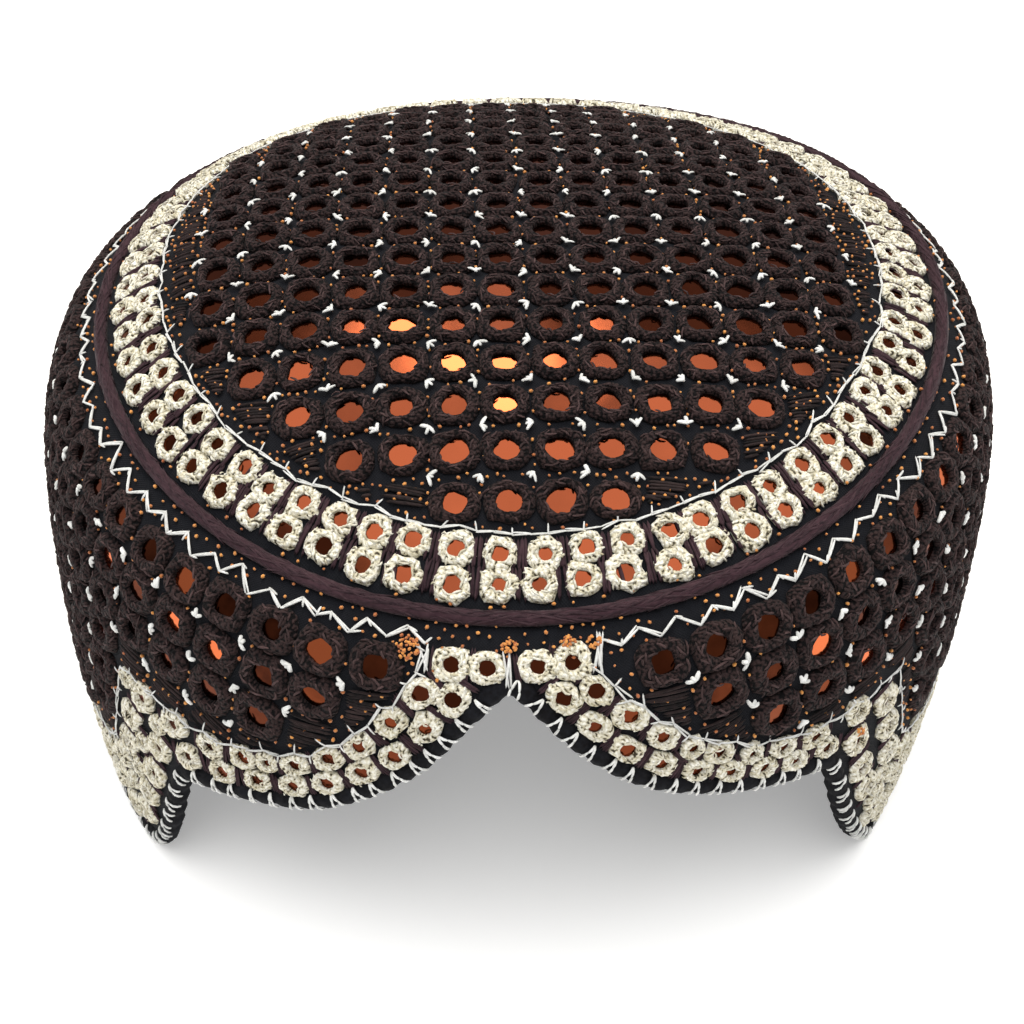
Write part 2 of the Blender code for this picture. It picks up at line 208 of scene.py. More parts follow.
# Cloth shells: columns and rows, and how far they reach
CROWN_SHELL_GRID = (144, 40)
CROWN_SHELL_REACH = 81.5
BAND_SHELL_GRID = (320, 44)
BAND_SHELL_TOP = 0.25
BAND_SHELL_EDGE = 3.2
WEAVE_PITCH = 0.55

# Cords
BINDING_RADIUS = 2.0
BINDING_DEPTH = 2.1
BINDING_PRESS = 0.3
BINDING_SWELL = (0.94, 0.12)
WHIP_PITCH = 4.4
PLAIT_WIDTH = 1.3
PLAIT_THREADS = 500
PLAIT_SWEEP = 9.2
PLAIT_THREAD_WIDTH = 0.42
PLAIT_CORE_RADIUS = 1.25

# The camera, in millimetres and degrees
CAMERA_ANGLES = (46.23, -0.23, 1.87)
CAMERA_TARGET = (0.1, CROWN_BACK, 14.7)
CAMERA_DISTANCE = 305.5
CAMERA_LENS = 45.3

# Lights in metres and watts, and the sky's grey by height
LAMPS = (
    # name, place, size, energy, colour
    ("overhead_softbox", (-0.1, 0.1, 1.9), 2.2, 39.0, "#ffffff"),
    ("window_lamp", (-0.02, 0.5, 1.15), 0.24, 3.6, "#fff0d0"),
)
LAMP_AIM = (0.0, 0.0, 0.05)
SKY = ((0.0, 0.62), (0.08, 0.5), (0.26, 0.19), (0.8, 0.2), (0.88, 0.5), (0.97, 0.62))
SKY_STRENGTH = 2.0


def linear(code):
    """Colour of an sRGB hex value, turned to linear, with full alpha."""
    values = [int(code[start:start + 2], 16) / 255 for start in (1, 3, 5)]
    return tuple(value / 12.92 if value <= 0.04045 else ((value + 0.055) / 1.055) ** 2.4
                 for value in values) + (1.0,)


# The cap's surfaces

def wall_curves():
    """Walk down the cloth in steps of 1 mm: the distances down, and out and drop at each."""
    steps = np.arange(WALL_LEAN[0, 0], WALL_LEAN[-1, 0] + 1)
    curves = []
    for column in (1, 2):
        lean = np.radians(np.interp(steps[:-1] + 0.5, WALL_LEAN[:, 0], WALL_LEAN[:, column]))
        for part in (np.sin(lean), np.cos(lean)):
            walked = np.concatenate(((0.0,), np.cumsum(part)))
            curves.append(walked - np.interp(0.0, steps, walked))
    return steps, curves


WALL_STEPS, (SIDE_OUT, SIDE_DROP, FRONT_OUT, FRONT_DROP) = wall_curves()


def seam_height(angle):
    """Height of the seam at an angle in radians."""
    return SEAM_HEIGHT - SEAM_SADDLE * np.cos(2 * angle) + SEAM_TILT * np.sin(angle)


def wall(azimuth, down):
    """Points on the outer face of the side wall."""
    angle = np.radians(azimuth)
    front = ((1 + np.cos(angle)) / 2) ** 2
    out = np.interp(down, WALL_STEPS, SIDE_OUT) * (1 - front)
    out = out + np.interp(down, WALL_STEPS, FRONT_OUT) * front
    drop = np.interp(down, WALL_STEPS, SIDE_DROP) * (1 - front)
    drop = drop + np.interp(down, WALL_STEPS, FRONT_DROP) * front
    radius = SEAM_RADIUS + out
    height = seam_height(angle) - drop
    return np.stack((radius * np.sin(angle), CROWN_BACK - radius * np.cos(angle), height), -1)


def crown(across, onwards):
    """Points on the outer face of the crown."""
    share = np.hypot(across, onwards) / SEAM_RADIUS
    angle = np.arctan2(across, -onwards)
    fall = CROWN_FALL_FRONT_BACK * np.cos(angle) ** 2
    edge = CROWN_TOP - fall - CROWN_ROUND
    height = CROWN_TOP - fall * share ** 2 - CROWN_ROUND * share ** 4
    height = height + (seam_height(angle) - edge) * share ** SEAM_PULL_POWER
    return np.stack((across, onwards + CROWN_BACK, height), -1)


def unit(vectors):
    """Vectors of length one."""
    return vectors / np.linalg.norm(vectors, axis=-1, keepdims=True)


def slopes(surface, first, second):
    """How a surface's points move over two small steps in each of its coordinates."""
    return (surface(first + SURFACE_STEP, second) - surface(first - SURFACE_STEP, second),
            surface(first, second + SURFACE_STEP) - surface(first, second - SURFACE_STEP))


def outward(surface, first, second):
    """Directions square to a surface, out of the cap."""
    across, along = slopes(surface, first, second)
    return unit(np.cross(across, along)) * (1.0 if surface is crown else -1.0)


def raised(surface, first, second, height):
    """Points at a height over a surface."""
    here = surface(first, second)
    return here + outward(surface, first, second) * np.asarray(height)[..., None]


def rotated(x, y, angle):
    """Flat places turned about the middle by an angle in radians."""
    cos, sin = np.cos(angle), np.sin(angle)
    return np.stack((x * cos - y * sin, x * sin + y * cos), -1)


def paired(first, second):
    """Places made of their two coordinates, either of which may be one number."""
    return np.stack(np.broadcast_arrays(first, second), -1)


def laid(surface, spots, turns, x, y, height, stiff=False):
    """Flat shapes laid on a surface at their spots, each turned, and bent unless it is stiff."""
    first, second = spots.T
    across, along = (part / (2 * SURFACE_STEP) for part in slopes(surface, first, second))
    normal = outward(surface, first, second)
    right = unit(across)
    up = np.cross(normal, right)
    flat = rotated(x, y, turns[:, None])
    offset = right[:, None] * flat[..., :1] + up[:, None] * flat[..., 1:]
    if stiff:
        middle = surface(first, second)[:, None]
        return middle + offset + normal[:, None] * height[..., None]
    on_first = (offset * across[:, None]).sum(-1)
    on_second = (offset * along[:, None]).sum(-1)
    across_square = (across ** 2).sum(-1)[:, None]
    along_square = (along ** 2).sum(-1)[:, None]
    mixed = (across * along).sum(-1)[:, None]
    size = across_square * along_square - mixed ** 2
    move_first = (along_square * on_first - mixed * on_second) / size
    move_second = (across_square * on_second - mixed * on_first) / size
    return raised(surface, first[:, None] + move_first, second[:, None] + move_second, height)


# The rim's line and the edge of the band's dark field

def down_to_ground(azimuth):
    """Distances down the cloth at which the pressed binding touches the ground."""
    low, high = (np.full(azimuth.shape, down) for down in GROUND_SEARCH)
    for _ in range(GROUND_HALVINGS):
        middle = (low + high) / 2
        roll_middle = raised(wall, azimuth, middle - BINDING_RADIUS,
                             np.full(azimuth.shape, -BINDING_DEPTH))
        above = roll_middle[..., 2] > BINDING_RADIUS - BINDING_PRESS
        low, high = np.where(above, middle, low), np.where(above, high, middle)
    return low


def ground_edge(first, last):
    """The part of the rim that stands on the ground, between two azimuths."""
    azimuth = np.linspace(first, last, math.ceil(abs(first - last) / 2) + 1)
    return paired(azimuth, down_to_ground(azimuth))


def evenly(points, step, surface=wall, closed=False):
    """Walk a line of places on a surface in equal steps."""
    lengths = np.linalg.norm(np.diff(surface(*points.T), axis=0), axis=-1)
    walked = np.concatenate(((0.0,), np.cumsum(lengths)))
    count = max(round(walked[-1] / step), 1)
    targets = np.linspace(0.0, walked[-1], count + 1)
    if closed:
        targets = targets[:-1]
    return np.stack([np.interp(targets, walked, points[:, column]) for column in (0, 1)], -1)


def beside(points):
    """The points before and after each on a closed line, with azimuths that don't jump."""
    before, after = np.roll(points, 1, axis=0), np.roll(points, -1, axis=0)
    before[0, 0] -= 360.0
    after[-1, 0] += 360.0
    return before, after


def rim_line():
    """The whole edge of the rim, from the back round by the -X side and the front."""
    left = RIM_CUT[::-1, :2] * (-1.0, 1.0)
    right = RIM_CUT[1:, ::2]
    line = np.concatenate((ground_edge(-180.0, TAIL_TIPS[0]), left, right,
                           ground_edge(TAIL_TIPS[1], 180.0)))
    line = evenly(line, RIM_STEP, closed=True)
    for _ in range(RIM_SMOOTHING):
        before, after = beside(line)
        line = (before + 2 * line + after) / 4
    return line


def moved_in(points, distance):
    """Shift a closed line round the rim up into the cloth, square to itself."""
    azimuth, down = points.T
    before, after = beside(points)
    forward = wall(*after.T) - wall(*before.T)
    across = wall(azimuth + NUDGE, down) - wall(azimuth, down)
    below = wall(azimuth, down + NUDGE) - wall(azimuth, down)
    inward = unit(np.cross(forward, np.cross(across, below)))
    turn = (inward * across).sum(-1) * NUDGE / (across ** 2).sum(-1)
    drop = (inward * unit(below)).sum(-1)
    return paired(azimuth + turn * distance, down + drop * distance)


def field_edge(azimuth):
    """Distance down to the lower edge of the dark field on the band."""
    turn = (np.asarray(azimuth) + 180.0) % 360.0
    left, right = (np.interp(np.abs(turn - 180.0), FIELD_EDGE[:, 0], FIELD_EDGE[:, column])
                   for column in (1, 2))
    return np.where(turn < 180.0, left, right)


RIM = rim_line()
RIM_POINTS = wall(*RIM.T)


def far_from(places, points, least):
    """Which places on the wall are at least a distance from all the points. The distance may
    be one number, or one for each point."""
    return np.array([(np.linalg.norm(points - here, axis=-1) >= least).all()
                     for here in wall(*places.T)])


# Meshes from patterns that are modelled once

def alone(piece):
    """Make a piece the only selected and active one."""
    bpy.ops.object.select_all(action="DESELECT")
    piece.select_set(True)
    bpy.context.view_layer.objects.active = piece


def edit(piece, select=None, change=None):
    """Change a piece in edit mode, after selecting all of it or nothing if asked."""
    alone(piece)
    bpy.ops.object.mode_set(mode="EDIT")
    if select:
        bpy.ops.mesh.select_all(action=select)
    if change:
        change()
    bpy.ops.object.mode_set(mode="OBJECT")


def read(items, key, width, kind=float):
    """One array of a value of every corner, face or loop of a mesh."""
    values = np.empty(len(items) * width, dtype=kind)
    items.foreach_get(key, values)
    return values if width == 1 else values.reshape(-1, width)


def linked(name, data):
    """A new object in the scene."""
    piece = bpy.data.objects.new(name, data)
    bpy.context.collection.objects.link(piece)
    return piece


def take_pattern(piece):
    """Read a modelled piece into arrays of its corners, faces and UV map, and remove it."""
    mesh = piece.data
    pattern = {"corners": read(mesh.vertices, "co", 3),
               "loops": read(mesh.loops, "vertex_index", 1, np.int32),
               "starts": read(mesh.polygons, "loop_start", 1, np.int32),
               "flat": read(mesh.uv_layers.active.data, "uv", 2)}
    bpy.data.objects.remove(piece)
    bpy.data.meshes.remove(mesh)
    return pattern


def ring_pattern():
    """A ring of spokes with five sides, to be shaped for each mirror."""
    bpy.ops.mesh.primitive_torus_add(major_segments=RING_SPOKES, minor_segments=RING_SIDES,
                                     major_radius=1.0, minor_radius=0.3, generate_uvs=True)
    ring = bpy.context.active_object
    ring.data.name = "ring pattern"
    pattern = take_pattern(ring)
    x, y, z = pattern["corners"].T
    pattern["angle"] = np.arctan2(y, x)
    around = np.arctan2(z, np.hypot(x, y) - 1.0) % (2 * math.pi)
    pattern["side"] = np.round(around * RING_SIDES / (2 * math.pi)).astype(int) % RING_SIDES
    return pattern


def stitch_pattern(sides):
    """A short thread with tapered ends, lying along its own third axis from 0 to 1."""
    bpy.ops.mesh.primitive_uv_sphere_add(segments=sides, ring_count=sides, radius=1.0)
    stitch = bpy.context.active_object
    turn = math.radians(90 % (360 / sides))
    edit(stitch, "SELECT", lambda: bpy.ops.transform.rotate(value=turn, orient_axis="Z",
                                                            center_override=(0, 0, 0)))
    pattern = take_pattern(stitch)
    x, y, z = pattern["corners"].T
    round_share = np.maximum(np.hypot(x, y), 1e-6)
    fuller = round_share ** 0.55 / round_share
    pattern["corners"] = np.stack((x * fuller, y * fuller, (z + 1) / 2), -1)
    return pattern


def seed_pattern():
    """A seed stitch: a small round knot of 20 faces."""
    bpy.ops.mesh.primitive_ico_sphere_add(subdivisions=1, radius=1.0)
    return take_pattern(bpy.context.active_object)


def mirror_pattern():
    """A small mirror: a thin disc whose upper edge is drawn in a little."""
    bpy.ops.mesh.primitive_cylinder_add(vertices=MIRROR_SIDES, radius=1.0, depth=2.0)
    mirror = bpy.context.active_object
    edit(mirror, "DESELECT")
    for face in mirror.data.polygons:
        face.select = face.normal.z > 0.9
    edit(mirror, change=lambda: bpy.ops.transform.resize(value=(0.94, 0.94, 1.0),
                                                         center_override=(0, 0, 0)))
    return take_pattern(mirror)


PATTERNS = {}


def pattern_of(kind):
    """A pattern by name, modelled when it is first asked for."""
    if kind not in PATTERNS:
        makers = {"ring": ring_pattern, "stitch": lambda: stitch_pattern(5),
                  "loop": lambda: stitch_pattern(4), "seed": seed_pattern,
                  "mirror": mirror_pattern}
        PATTERNS[kind] = makers[kind]()
    return PATTERNS[kind]


def repeated(name, pattern, points, tone, smooth=True):
    """One mesh of many copies of a pattern. Points are (copies, corners, 3) in millimetres."""
    copies, corners = points.shape[:2]
    order = np.arange(copies)[:, None]
    points[..., 2] = np.maximum(points[..., 2], 0.0)
    mesh = bpy.data.meshes.new(name)
    mesh.vertices.add(copies * corners)
    mesh.vertices.foreach_set("co", (points * MM).astype(np.float32).ravel())
    loops = (pattern["loops"][None] + corners * order).ravel()
    mesh.loops.add(len(loops))
    mesh.loops.foreach_set("vertex_index", loops)
    starts = (pattern["starts"][None] + len(pattern["loops"]) * order).ravel()
    mesh.polygons.add(len(starts))
    mesh.polygons.foreach_set("loop_start", starts)
    mesh.update(calc_edges=True)
    flat = mesh.uv_layers.new(name="UVMap")
    flat.data.foreach_set("uv", np.tile(pattern["flat"].ravel(), copies))
    tones = mesh.attributes.new("tone", "FLOAT", "POINT")
    tones.data.foreach_set("value", np.repeat(tone, corners))
    mesh.polygons.foreach_set("use_smooth", np.full(len(starts), smooth))
    return linked(name, mesh)


def ring_places(angle, reach, sizes, outer, inner, squareness):
    """Places on flat rings at an angle, from the hole's edge at reach 0 to the outer edge at 1."""
    cos, sin = np.cos(angle), np.sin(angle)
    shape = (np.abs(cos) ** squareness + np.abs(sin) ** squareness) ** (-1 / squareness)
    places = []
    for part, half in ((cos, sizes[:, :1] / 2), (sin, sizes[:, 1:] / 2)):
        places.append(inner * part * (1 - reach) + outer * shape * part * half * reach)
    return places


def add_rings(name, surface, spots, turns, sizes, hole, squareness, rough, chance, thick=1.0):
    """Stitched rings, each with its own uneven outline. Sizes are whole widths and heights."""
    pattern = pattern_of("ring")
    count = len(spots)
    angle, side = pattern["angle"][None], pattern["side"][None]
    spokes = np.round(angle * RING_SPOKES / (2 * math.pi)).astype(int) % RING_SPOKES
    spokes = np.repeat(spokes, count, 0)
    wobble = 1 + rough * chance.normal(size=(count, RING_SPOKES))
    spikes = chance.random((count, RING_SPOKES)) > SPIKE_OVER
    wobble = np.clip(wobble + spikes * rough * SPIKE_SIZE, 0.8, 1.3)
    outer = np.take_along_axis(wobble, spokes, 1)
    harmonics = np.ones((count, angle.shape[1]))
    for number in RING_WAVES:
        swing = chance.normal(size=(count, 1)) * RING_WAVE_SIZE
        start = chance.random((count, 1)) * ANY_TURN
        harmonics = harmonics + swing * np.cos(number * angle + start)
    reach, level = RING_PROFILE[side, 0], RING_PROFILE[side, 1]
    x, y = ring_places(angle, reach, sizes, outer, hole[:, None] * harmonics, squareness)
    lumps = chance.normal(size=(count, RING_SPOKES)) * RING_LUMP_SIZE
    level = level + np.take_along_axis(lumps, spokes, 1) * (level > -0.3)
    level = CLOTH_FACE + (level - CLOTH_FACE) * thick
    points = laid(surface, spots, turns, x, y, level)
    return repeated(name, pattern, points, chance.random(count))


def add_ring_threads(name, surface, spots, turns, sizes, hole, squareness, width, rows, chance,
                     thick=1.0):
    """Threads worked over rings. Each row of them has its number of threads, the reach of their
    starts and of their ends, and how far they sweep round the ring in radians."""
    pattern = pattern_of("loop")
    sideways, upwards, share = pattern["corners"].T
    rise = 4 * share * (1 - share)
    parts = []
    for number, first, last, sweep in rows:
        size = (len(spots), number)
        angle = np.arange(number) + chance.random((len(spots), 1)) + chance.normal(size=size) * 0.2
        angle = angle * 2 * math.pi / number
        ends = []
        swept = angle + sweep + chance.normal(size=size) * 0.15
        for turn, reach in ((angle, first), (swept, last)):
            reach = reach + chance.normal(size=size) * 0.07
            x, y = ring_places(turn, reach, sizes, 1.0, hole[:, None], squareness)
            level = np.interp(reach, THREAD_REACHES, THREAD_LEVELS)
            ends.append(np.stack((x, y, CLOTH_FACE + (level - CLOTH_FACE) * thick), -1))
        run = ends[1] - ends[0]
        side = unit(np.stack((-run[..., 1], run[..., 0]), -1))[:, :, None]
        path = ends[0][:, :, None] + run[:, :, None] * share[:, None]
        bow = chance.normal(size=size)[..., None] * 0.22 * rise
        path[..., :2] += side * (sideways * width / 2 + bow)[..., None]
        path[..., 2] += upwards * width * 0.4 + 0.12 * rise
        parts.append(path)
    flat = np.concatenate(parts, 1)
    rings, threads, corners = flat.shape[:3]
    x, y, height = np.moveaxis(flat.reshape(rings, threads * corners, 3), -1, 0)
    points = laid(surface, spots, turns, x, y, height).reshape(-1, corners, 3)
    return repeated(name, pattern, points, chance.random(rings * threads))


def add_mirrors(name, surface, spots, turns, radii, tone, chance):
    """Small mirrors, each sewn in at its own slight tilt."""
    pattern = pattern_of("mirror")
    across, onwards, up = pattern["corners"].T
    x = across[None] * radii[:, None]
    y = onwards[None] * radii[:, None]
    tilt = chance.normal(size=(len(spots), 2)) * MIRROR_TILT
    tilt = np.clip(tilt, -2 * MIRROR_TILT, 2 * MIRROR_TILT)
    height = MIRROR_LEVEL + up[None] * 0.1 + tilt[:, :1] * x + tilt[:, 1:] * y
    points = laid(surface, spots, turns, x, y, height, stiff=True)
    return repeated(name, pattern, points, tone, smooth=False)


def add_stitches(name, surface, lines, width, lift, level, chance, flat=0.8, kind="stitch"):
    """Short threads over a surface. Lines holds their starts and then their ends, and lift is
    how far their middles stand up."""
    pattern = pattern_of(kind)
    sideways, upwards, share = pattern["corners"].T
    starts, ends = lines
    count = len(starts)
    width, lift, level = (np.broadcast_to(part, count)[:, None] for part in (width, lift, level))
    path = starts[:, None] + (ends - starts)[:, None] * share[None, :, None]
    height = level + lift * 4 * share * (1 - share)
    middle = raised(surface, path[..., 0], path[..., 1], height)
    normal = outward(surface, path[..., 0], path[..., 1])
    forward = surface(*ends.T) - surface(*starts.T)
    side = unit(np.cross(normal, unit(forward)[:, None]))
    points = middle + side * (sideways * width / 2)[..., None]
    points = points + normal * (upwards * width / 2 * flat)[..., None]
    return repeated(name, pattern, points, chance.random(count))


def add_seeds(name, surface, spots, sizes, level, chance):
    """Seed stitches: little round knots."""
    pattern = pattern_of("seed")
    across, onwards, up = pattern["corners"].T
    radius = (sizes / 2)[:, None]
    height = np.broadcast_to(level, len(spots))[:, None] + up[None] * radius
    points = laid(surface, spots, chance.random(len(spots)) * ANY_TURN, across[None] * radius,
                  onwards[None] * radius * 0.8, height)
    return repeated(name, pattern, points, chance.random(len(spots)))


def add_shell(name, surface, columns, rows, places, flat):
    """A cloth shell on a surface. Places gives the place of each column and row, from 0 to 1."""
    bpy.ops.mesh.primitive_grid_add(x_subdivisions=columns, y_subdivisions=rows, size=2.0)
    shell = bpy.context.active_object
    shell.name = shell.data.name = name
    corners = read(shell.data.vertices, "co", 3)
    first, second = places((corners[:, 0] + 1) / 2, (corners[:, 1] + 1) / 2)
    points = raised(surface, first, second, np.full(first.shape, CLOTH_FACE))
    shell.data.vertices.foreach_set("co", (points * MM).ravel())
    loops = read(shell.data.loops, "vertex_index", 1, np.int32)
    on_cloth = np.stack(flat(first, second), -1)[loops] * MM
    shell.data.uv_layers.active.data.foreach_set("uv", on_cloth.ravel())
    edit(shell, "SELECT", lambda: bpy.ops.mesh.remove_doubles(threshold=0.00001))
    face = max(shell.data.polygons, key=lambda item: item.center.x)
    if face.normal.x < 0:
        edit(shell, "SELECT", bpy.ops.mesh.flip_normals)
    solid = shell.modifiers.new("thickness", "SOLIDIFY")
    solid.thickness = CLOTH_THICKNESS * MM
    solid.offset = -1.0
    bpy.ops.object.modifier_apply(modifier=solid.name)
    bpy.ops.object.shade_smooth_by_angle(angle=math.radians(50))
    return shell


def add_cord(name, line, radius, sides):
    """A closed round cord along a line of points in millimetres, made a mesh."""
    curve = bpy.data.curves.new(name, "CURVE")
    curve.dimensions = "3D"
    curve.bevel_depth = MM
    curve.bevel_resolution = sides
    spline = curve.splines.new("POLY")
    spline.points.add(len(line) - 1)
    spline.points.foreach_set("co", np.insert(line * MM, 3, 1.0, axis=1).ravel())
    spline.points.foreach_set("radius", np.broadcast_to(radius, len(line)).astype(float))
    spline.use_cyclic_u = True
    alone(linked(name, curve))
    bpy.ops.object.convert(target="MESH")
    cord = bpy.context.active_object
    cord.data.shade_smooth()
    return cord


# Materials

def add(tree, kind, links=(), **settings):
    """Add a node with its settings and links, and return its first output."""
    item = tree.nodes.new("ShaderNode" + kind)
    for name, value in settings.items():
        setattr(item, name, value)
    for key, value in dict(links).items():
        if isinstance(value, bpy.types.NodeSocket):
            tree.links.new(value, item.inputs[key])
        else:
            item.inputs[key].default_value = value
    return item.outputs[0] if item.outputs else item


def start_material(name, **fixed):
    """A new material, with what is the same all over it set on the shader itself."""
    material = bpy.data.materials.new(name)
    material.use_nodes = True
    shader = material.node_tree.nodes["Principled BSDF"]
    for key, value in fixed.items():
        shader.inputs[key.replace("_", " ")].default_value = value
    return material, material.node_tree, shader


def bumped(tree, shader, height, distance, strength):
    """Give a shader a bump from a height. The distance is in millimetres."""
    bump = add(tree, "Bump", {"Height": height, "Distance": distance * MM, "Strength": strength})
    tree.links.new(bump, shader.inputs["Normal"])


def toned(tree, dark, light, share):
    """A colour between two, by a share from 0 to 1."""
    return add(tree, "MixRGB", {"Fac": share, "Color1": dark, "Color2": light})


def painted(tree, shader, dark, light, share):
    """Give a shader a colour between two."""
    tree.links.new(toned(tree, dark, light, share), shader.inputs["Base Color"])


def on_object(tree):
    """Where a shaded point is on its object, in metres."""
    return add(tree, "TexCoord").node.outputs["Object"]


def on_map(tree):
    """Where a shaded point is on its piece's UV map, along each axis."""
    parts = add(tree, "SeparateXYZ", {0: add(tree, "UVMap", uv_map="UVMap")})
    return parts.node.outputs["X"], parts.node.outputs["Y"]


def own_tone(tree):
    """The tone that each stitch or mirror carries."""
    return add(tree, "Attribute", attribute_name="tone").node.outputs["Fac"]


def noise(tree, place, scale, detail):
    """Soft random spots over the object."""
    return add(tree, "TexNoise", {"Vector": place, "Scale": scale, "Detail": detail})


def times(tree, value, factor, plus=None):
    """A value times a factor, with something added if it is given."""
    if plus is None:
        return add(tree, "Math", {0: value, 1: factor}, operation="MULTIPLY")
    return add(tree, "Math", {0: value, 1: factor, 2: plus}, operation="MULTIPLY_ADD")


def sine(tree, value):
    """The sine of a value in radians."""
    return add(tree, "Math", {0: value}, operation="SINE")


def ranged(tree, value, low, high):
    """A share from 0 to 1, by where a value stands between a low and a high one."""
    return add(tree, "MapRange", {"Value": value, "From Min": low, "From Max": high})


def cotton_material(name, colour, light):
    """Plain woven cotton, dyed near black and quilted. The weave is drawn at 0.55 mm, as coarse
    as it needs to be to show, and gives the cloth a dull broken surface."""
    material, tree, shader = start_material(name, Roughness=0.95, Specular_IOR_Level=0.15,
                                            Sheen_Weight=0.03)
    thread = 2 * math.pi / (WEAVE_PITCH * MM)
    weave = times(tree, *(sine(tree, times(tree, axis, thread)) for axis in on_map(tree)))
    lint = noise(tree, on_object(tree), scale=700.0, detail=3.0)
    painted(tree, shader, colour, light, lint)
    bumped(tree, shader, times(tree, weave, 0.5, lint), distance=0.12, strength=0.7)
    return material


def ring_material(name, dark, light, gap, stitches, lumpy, pits):
    """Cotton floss worked in buttonhole stitch round a mirror. The stitches lie like spokes that
    cross in small loops. The low pits between the loops are painted in the gap colour, a painted
    shade over the dark cloth that shows there, and higher floss is painted lighter than lower
    floss."""
    material, tree, shader = start_material(name, Roughness=0.85, Specular_IOR_Level=0.15,
                                            Sheen_Weight=0.02)
    around, across = on_map(tree)
    place = on_object(tree)
    fuzz = noise(tree, place, scale=2200.0, detail=2.0)
    drift = noise(tree, place, scale=300.0, detail=1.0)
    slant = times(tree, across, 0.15, times(tree, drift, 0.12, around))
    spokes = sine(tree, times(tree, slant, 2 * math.pi * stitches))
    loops = add(tree, "TexVoronoi", {"Vector": place, "Scale": lumpy})
    height = times(tree, loops, -1.25, times(tree, spokes, 0.16, fuzz))
    # Painted shade by height: higher floss is painted lighter and lower floss darker, with a small
    # random tone for each ring.
    share = ranged(tree, times(tree, own_tone(tree), 0.15, height), low=-0.45, high=0.35)
    # Painted shade: the low pits between the loops take the gap colour, darker than the floss;
    # under the brown floss it also stands for the dark cloth between the loops.
    kept = ranged(tree, height, low=pits - 0.22, high=pits)
    painted(tree, shader, gap, toned(tree, dark, light, share), kept)
    bumped(tree, shader, height, distance=0.45, strength=0.9)
    return material


def thread_material(name, dark, light, sheen, fibres=14):
    """Twisted cotton floss. Fine fibres run along each thread and catch the light."""
    material, tree, shader = start_material(name, Roughness=0.7, Specular_IOR_Level=0.2,
                                            Sheen_Weight=sheen)
    around, along = on_map(tree)
    twist = times(tree, along, 0.5, around)
    strands = sine(tree, times(tree, twist, 2 * math.pi * fibres))
    fuzz = noise(tree, on_object(tree), scale=1100.0, detail=3.0)
    share = ranged(tree, times(tree, own_tone(tree), 0.5, fuzz), low=0.4, high=1.1)
    painted(tree, shader, dark, light, share)
    bumped(tree, shader, times(tree, strands, 0.3, fuzz), distance=0.1, strength=0.6)
    return material


def cord_material(name, dark, light, grain, sheen):
    """Cotton cord and rolled binding. Short fibres show as streaks of light and dark."""
    material, tree, shader = start_material(name, Roughness=0.8, Specular_IOR_Level=0.12,
                                            Sheen_Weight=sheen)
    place = on_object(tree)
    streaks = noise(tree, place, scale=grain, detail=4.0)
    broad = noise(tree, place, scale=90.0, detail=2.0)
    share = ranged(tree, times(tree, broad, 0.6, streaks), low=0.5, high=1.1)
    painted(tree, shader, dark, light, share)
    bumped(tree, shader, streaks, distance=0.2, strength=0.6)
    return material


def mirror_material(name, bright, dull):
    """Small glass mirror with a copper-tinted back. It is flat and polished, so it shows the light
    above, and its tone, with some spots, sets its colour between a bright and a dark one."""
    material, tree, shader = start_material(name, Metallic=1.0)
    spots = noise(tree, on_object(tree), scale=240.0, detail=3.0)
    brightness = times(tree, spots, 0.25, own_tone(tree))
    painted(tree, shader, dull, bright, ranged(tree, brightness, low=0.0, high=1.0))
    rough = add(tree, "MapRange", {"Value": spots, "To Min": 0.05, "To Max": 0.16})
    tree.links.new(rough, shader.inputs["Roughness"])
    return material


def seed_material(name, dark, light):
    """Small knots of bright cotton thread, from orange to mustard."""
    material, tree, shader = start_material(name, Roughness=0.55, Sheen_Weight=0.3)
    fuzz = noise(tree, on_object(tree), scale=2400.0, detail=2.0)
    painted(tree, shader, dark, light, own_tone(tree))
    bumped(tree, shader, fuzz, distance=0.12, strength=0.7)
    return material


def floor_material(name, colour):
    """A pale, even floor that glows softly by its own emission: painted light, for it is no lamp,
    that lifts the shadows on it.
    """
    # The emission is painted light: the floor glows though it is no lamp.
    material, tree, shader = start_material(name, Roughness=0.7, Emission_Strength=0.3)
    darker = tuple(value * 0.985 for value in colour[:3]) + (1.0,)
    painted(tree, shader, colour, darker, noise(tree, on_object(tree), scale=30.0, detail=3.0))
    return material


# Where each thing is sewn

def crown_grid(extra, pitch):
    """Places of a square grid on the crown, turned as the field is. It has some more columns
    and rows than the field has whole mirrors."""
    columns, rows = (np.arange(count + extra) - (count + extra - 1) / 2
                     for count in (CROWN_COLUMNS, CROWN_ROWS))
    across, onwards = np.meshgrid(columns * pitch, rows * pitch - FIELD_FORWARD)
    return rotated(across.ravel(), onwards.ravel(), FIELD_TURN)


def polar(azimuth, radius):
    """Places on the crown at azimuths and distances from its middle."""
    angle = np.radians(azimuth)
    return np.stack((radius * np.sin(angle), -radius * np.cos(angle)), -1)


KNOT_THREADS = (
    # spread from the knot's heading in radians, length
    (-0.95, 1.5), (0.1, 1.25), (1.1, 1.6),
)
SEED_REACHES = ((1.7, 2.4), (2.7, 3.4))


def knots_at(spots, reach, chance):
    """Starts and ends of the three threads of each white knot, which fan out from one point.
    Reach turns a millimetre into chart units for each spot, one value for each axis."""
    heading = chance.random(len(spots)) * 2 * math.pi
    lines = []
    for spread, length in KNOT_THREADS:
        turn = heading + spread + chance.normal(size=len(spots)) * 0.2
        arm = np.stack((np.cos(turn), np.sin(turn)), -1) * reach
        size = length * chance.uniform(0.8, 1.25, (len(spots), 1))
        lines.append((spots - arm * 0.35, spots + arm * size))
    return np.concatenate(lines, 1)


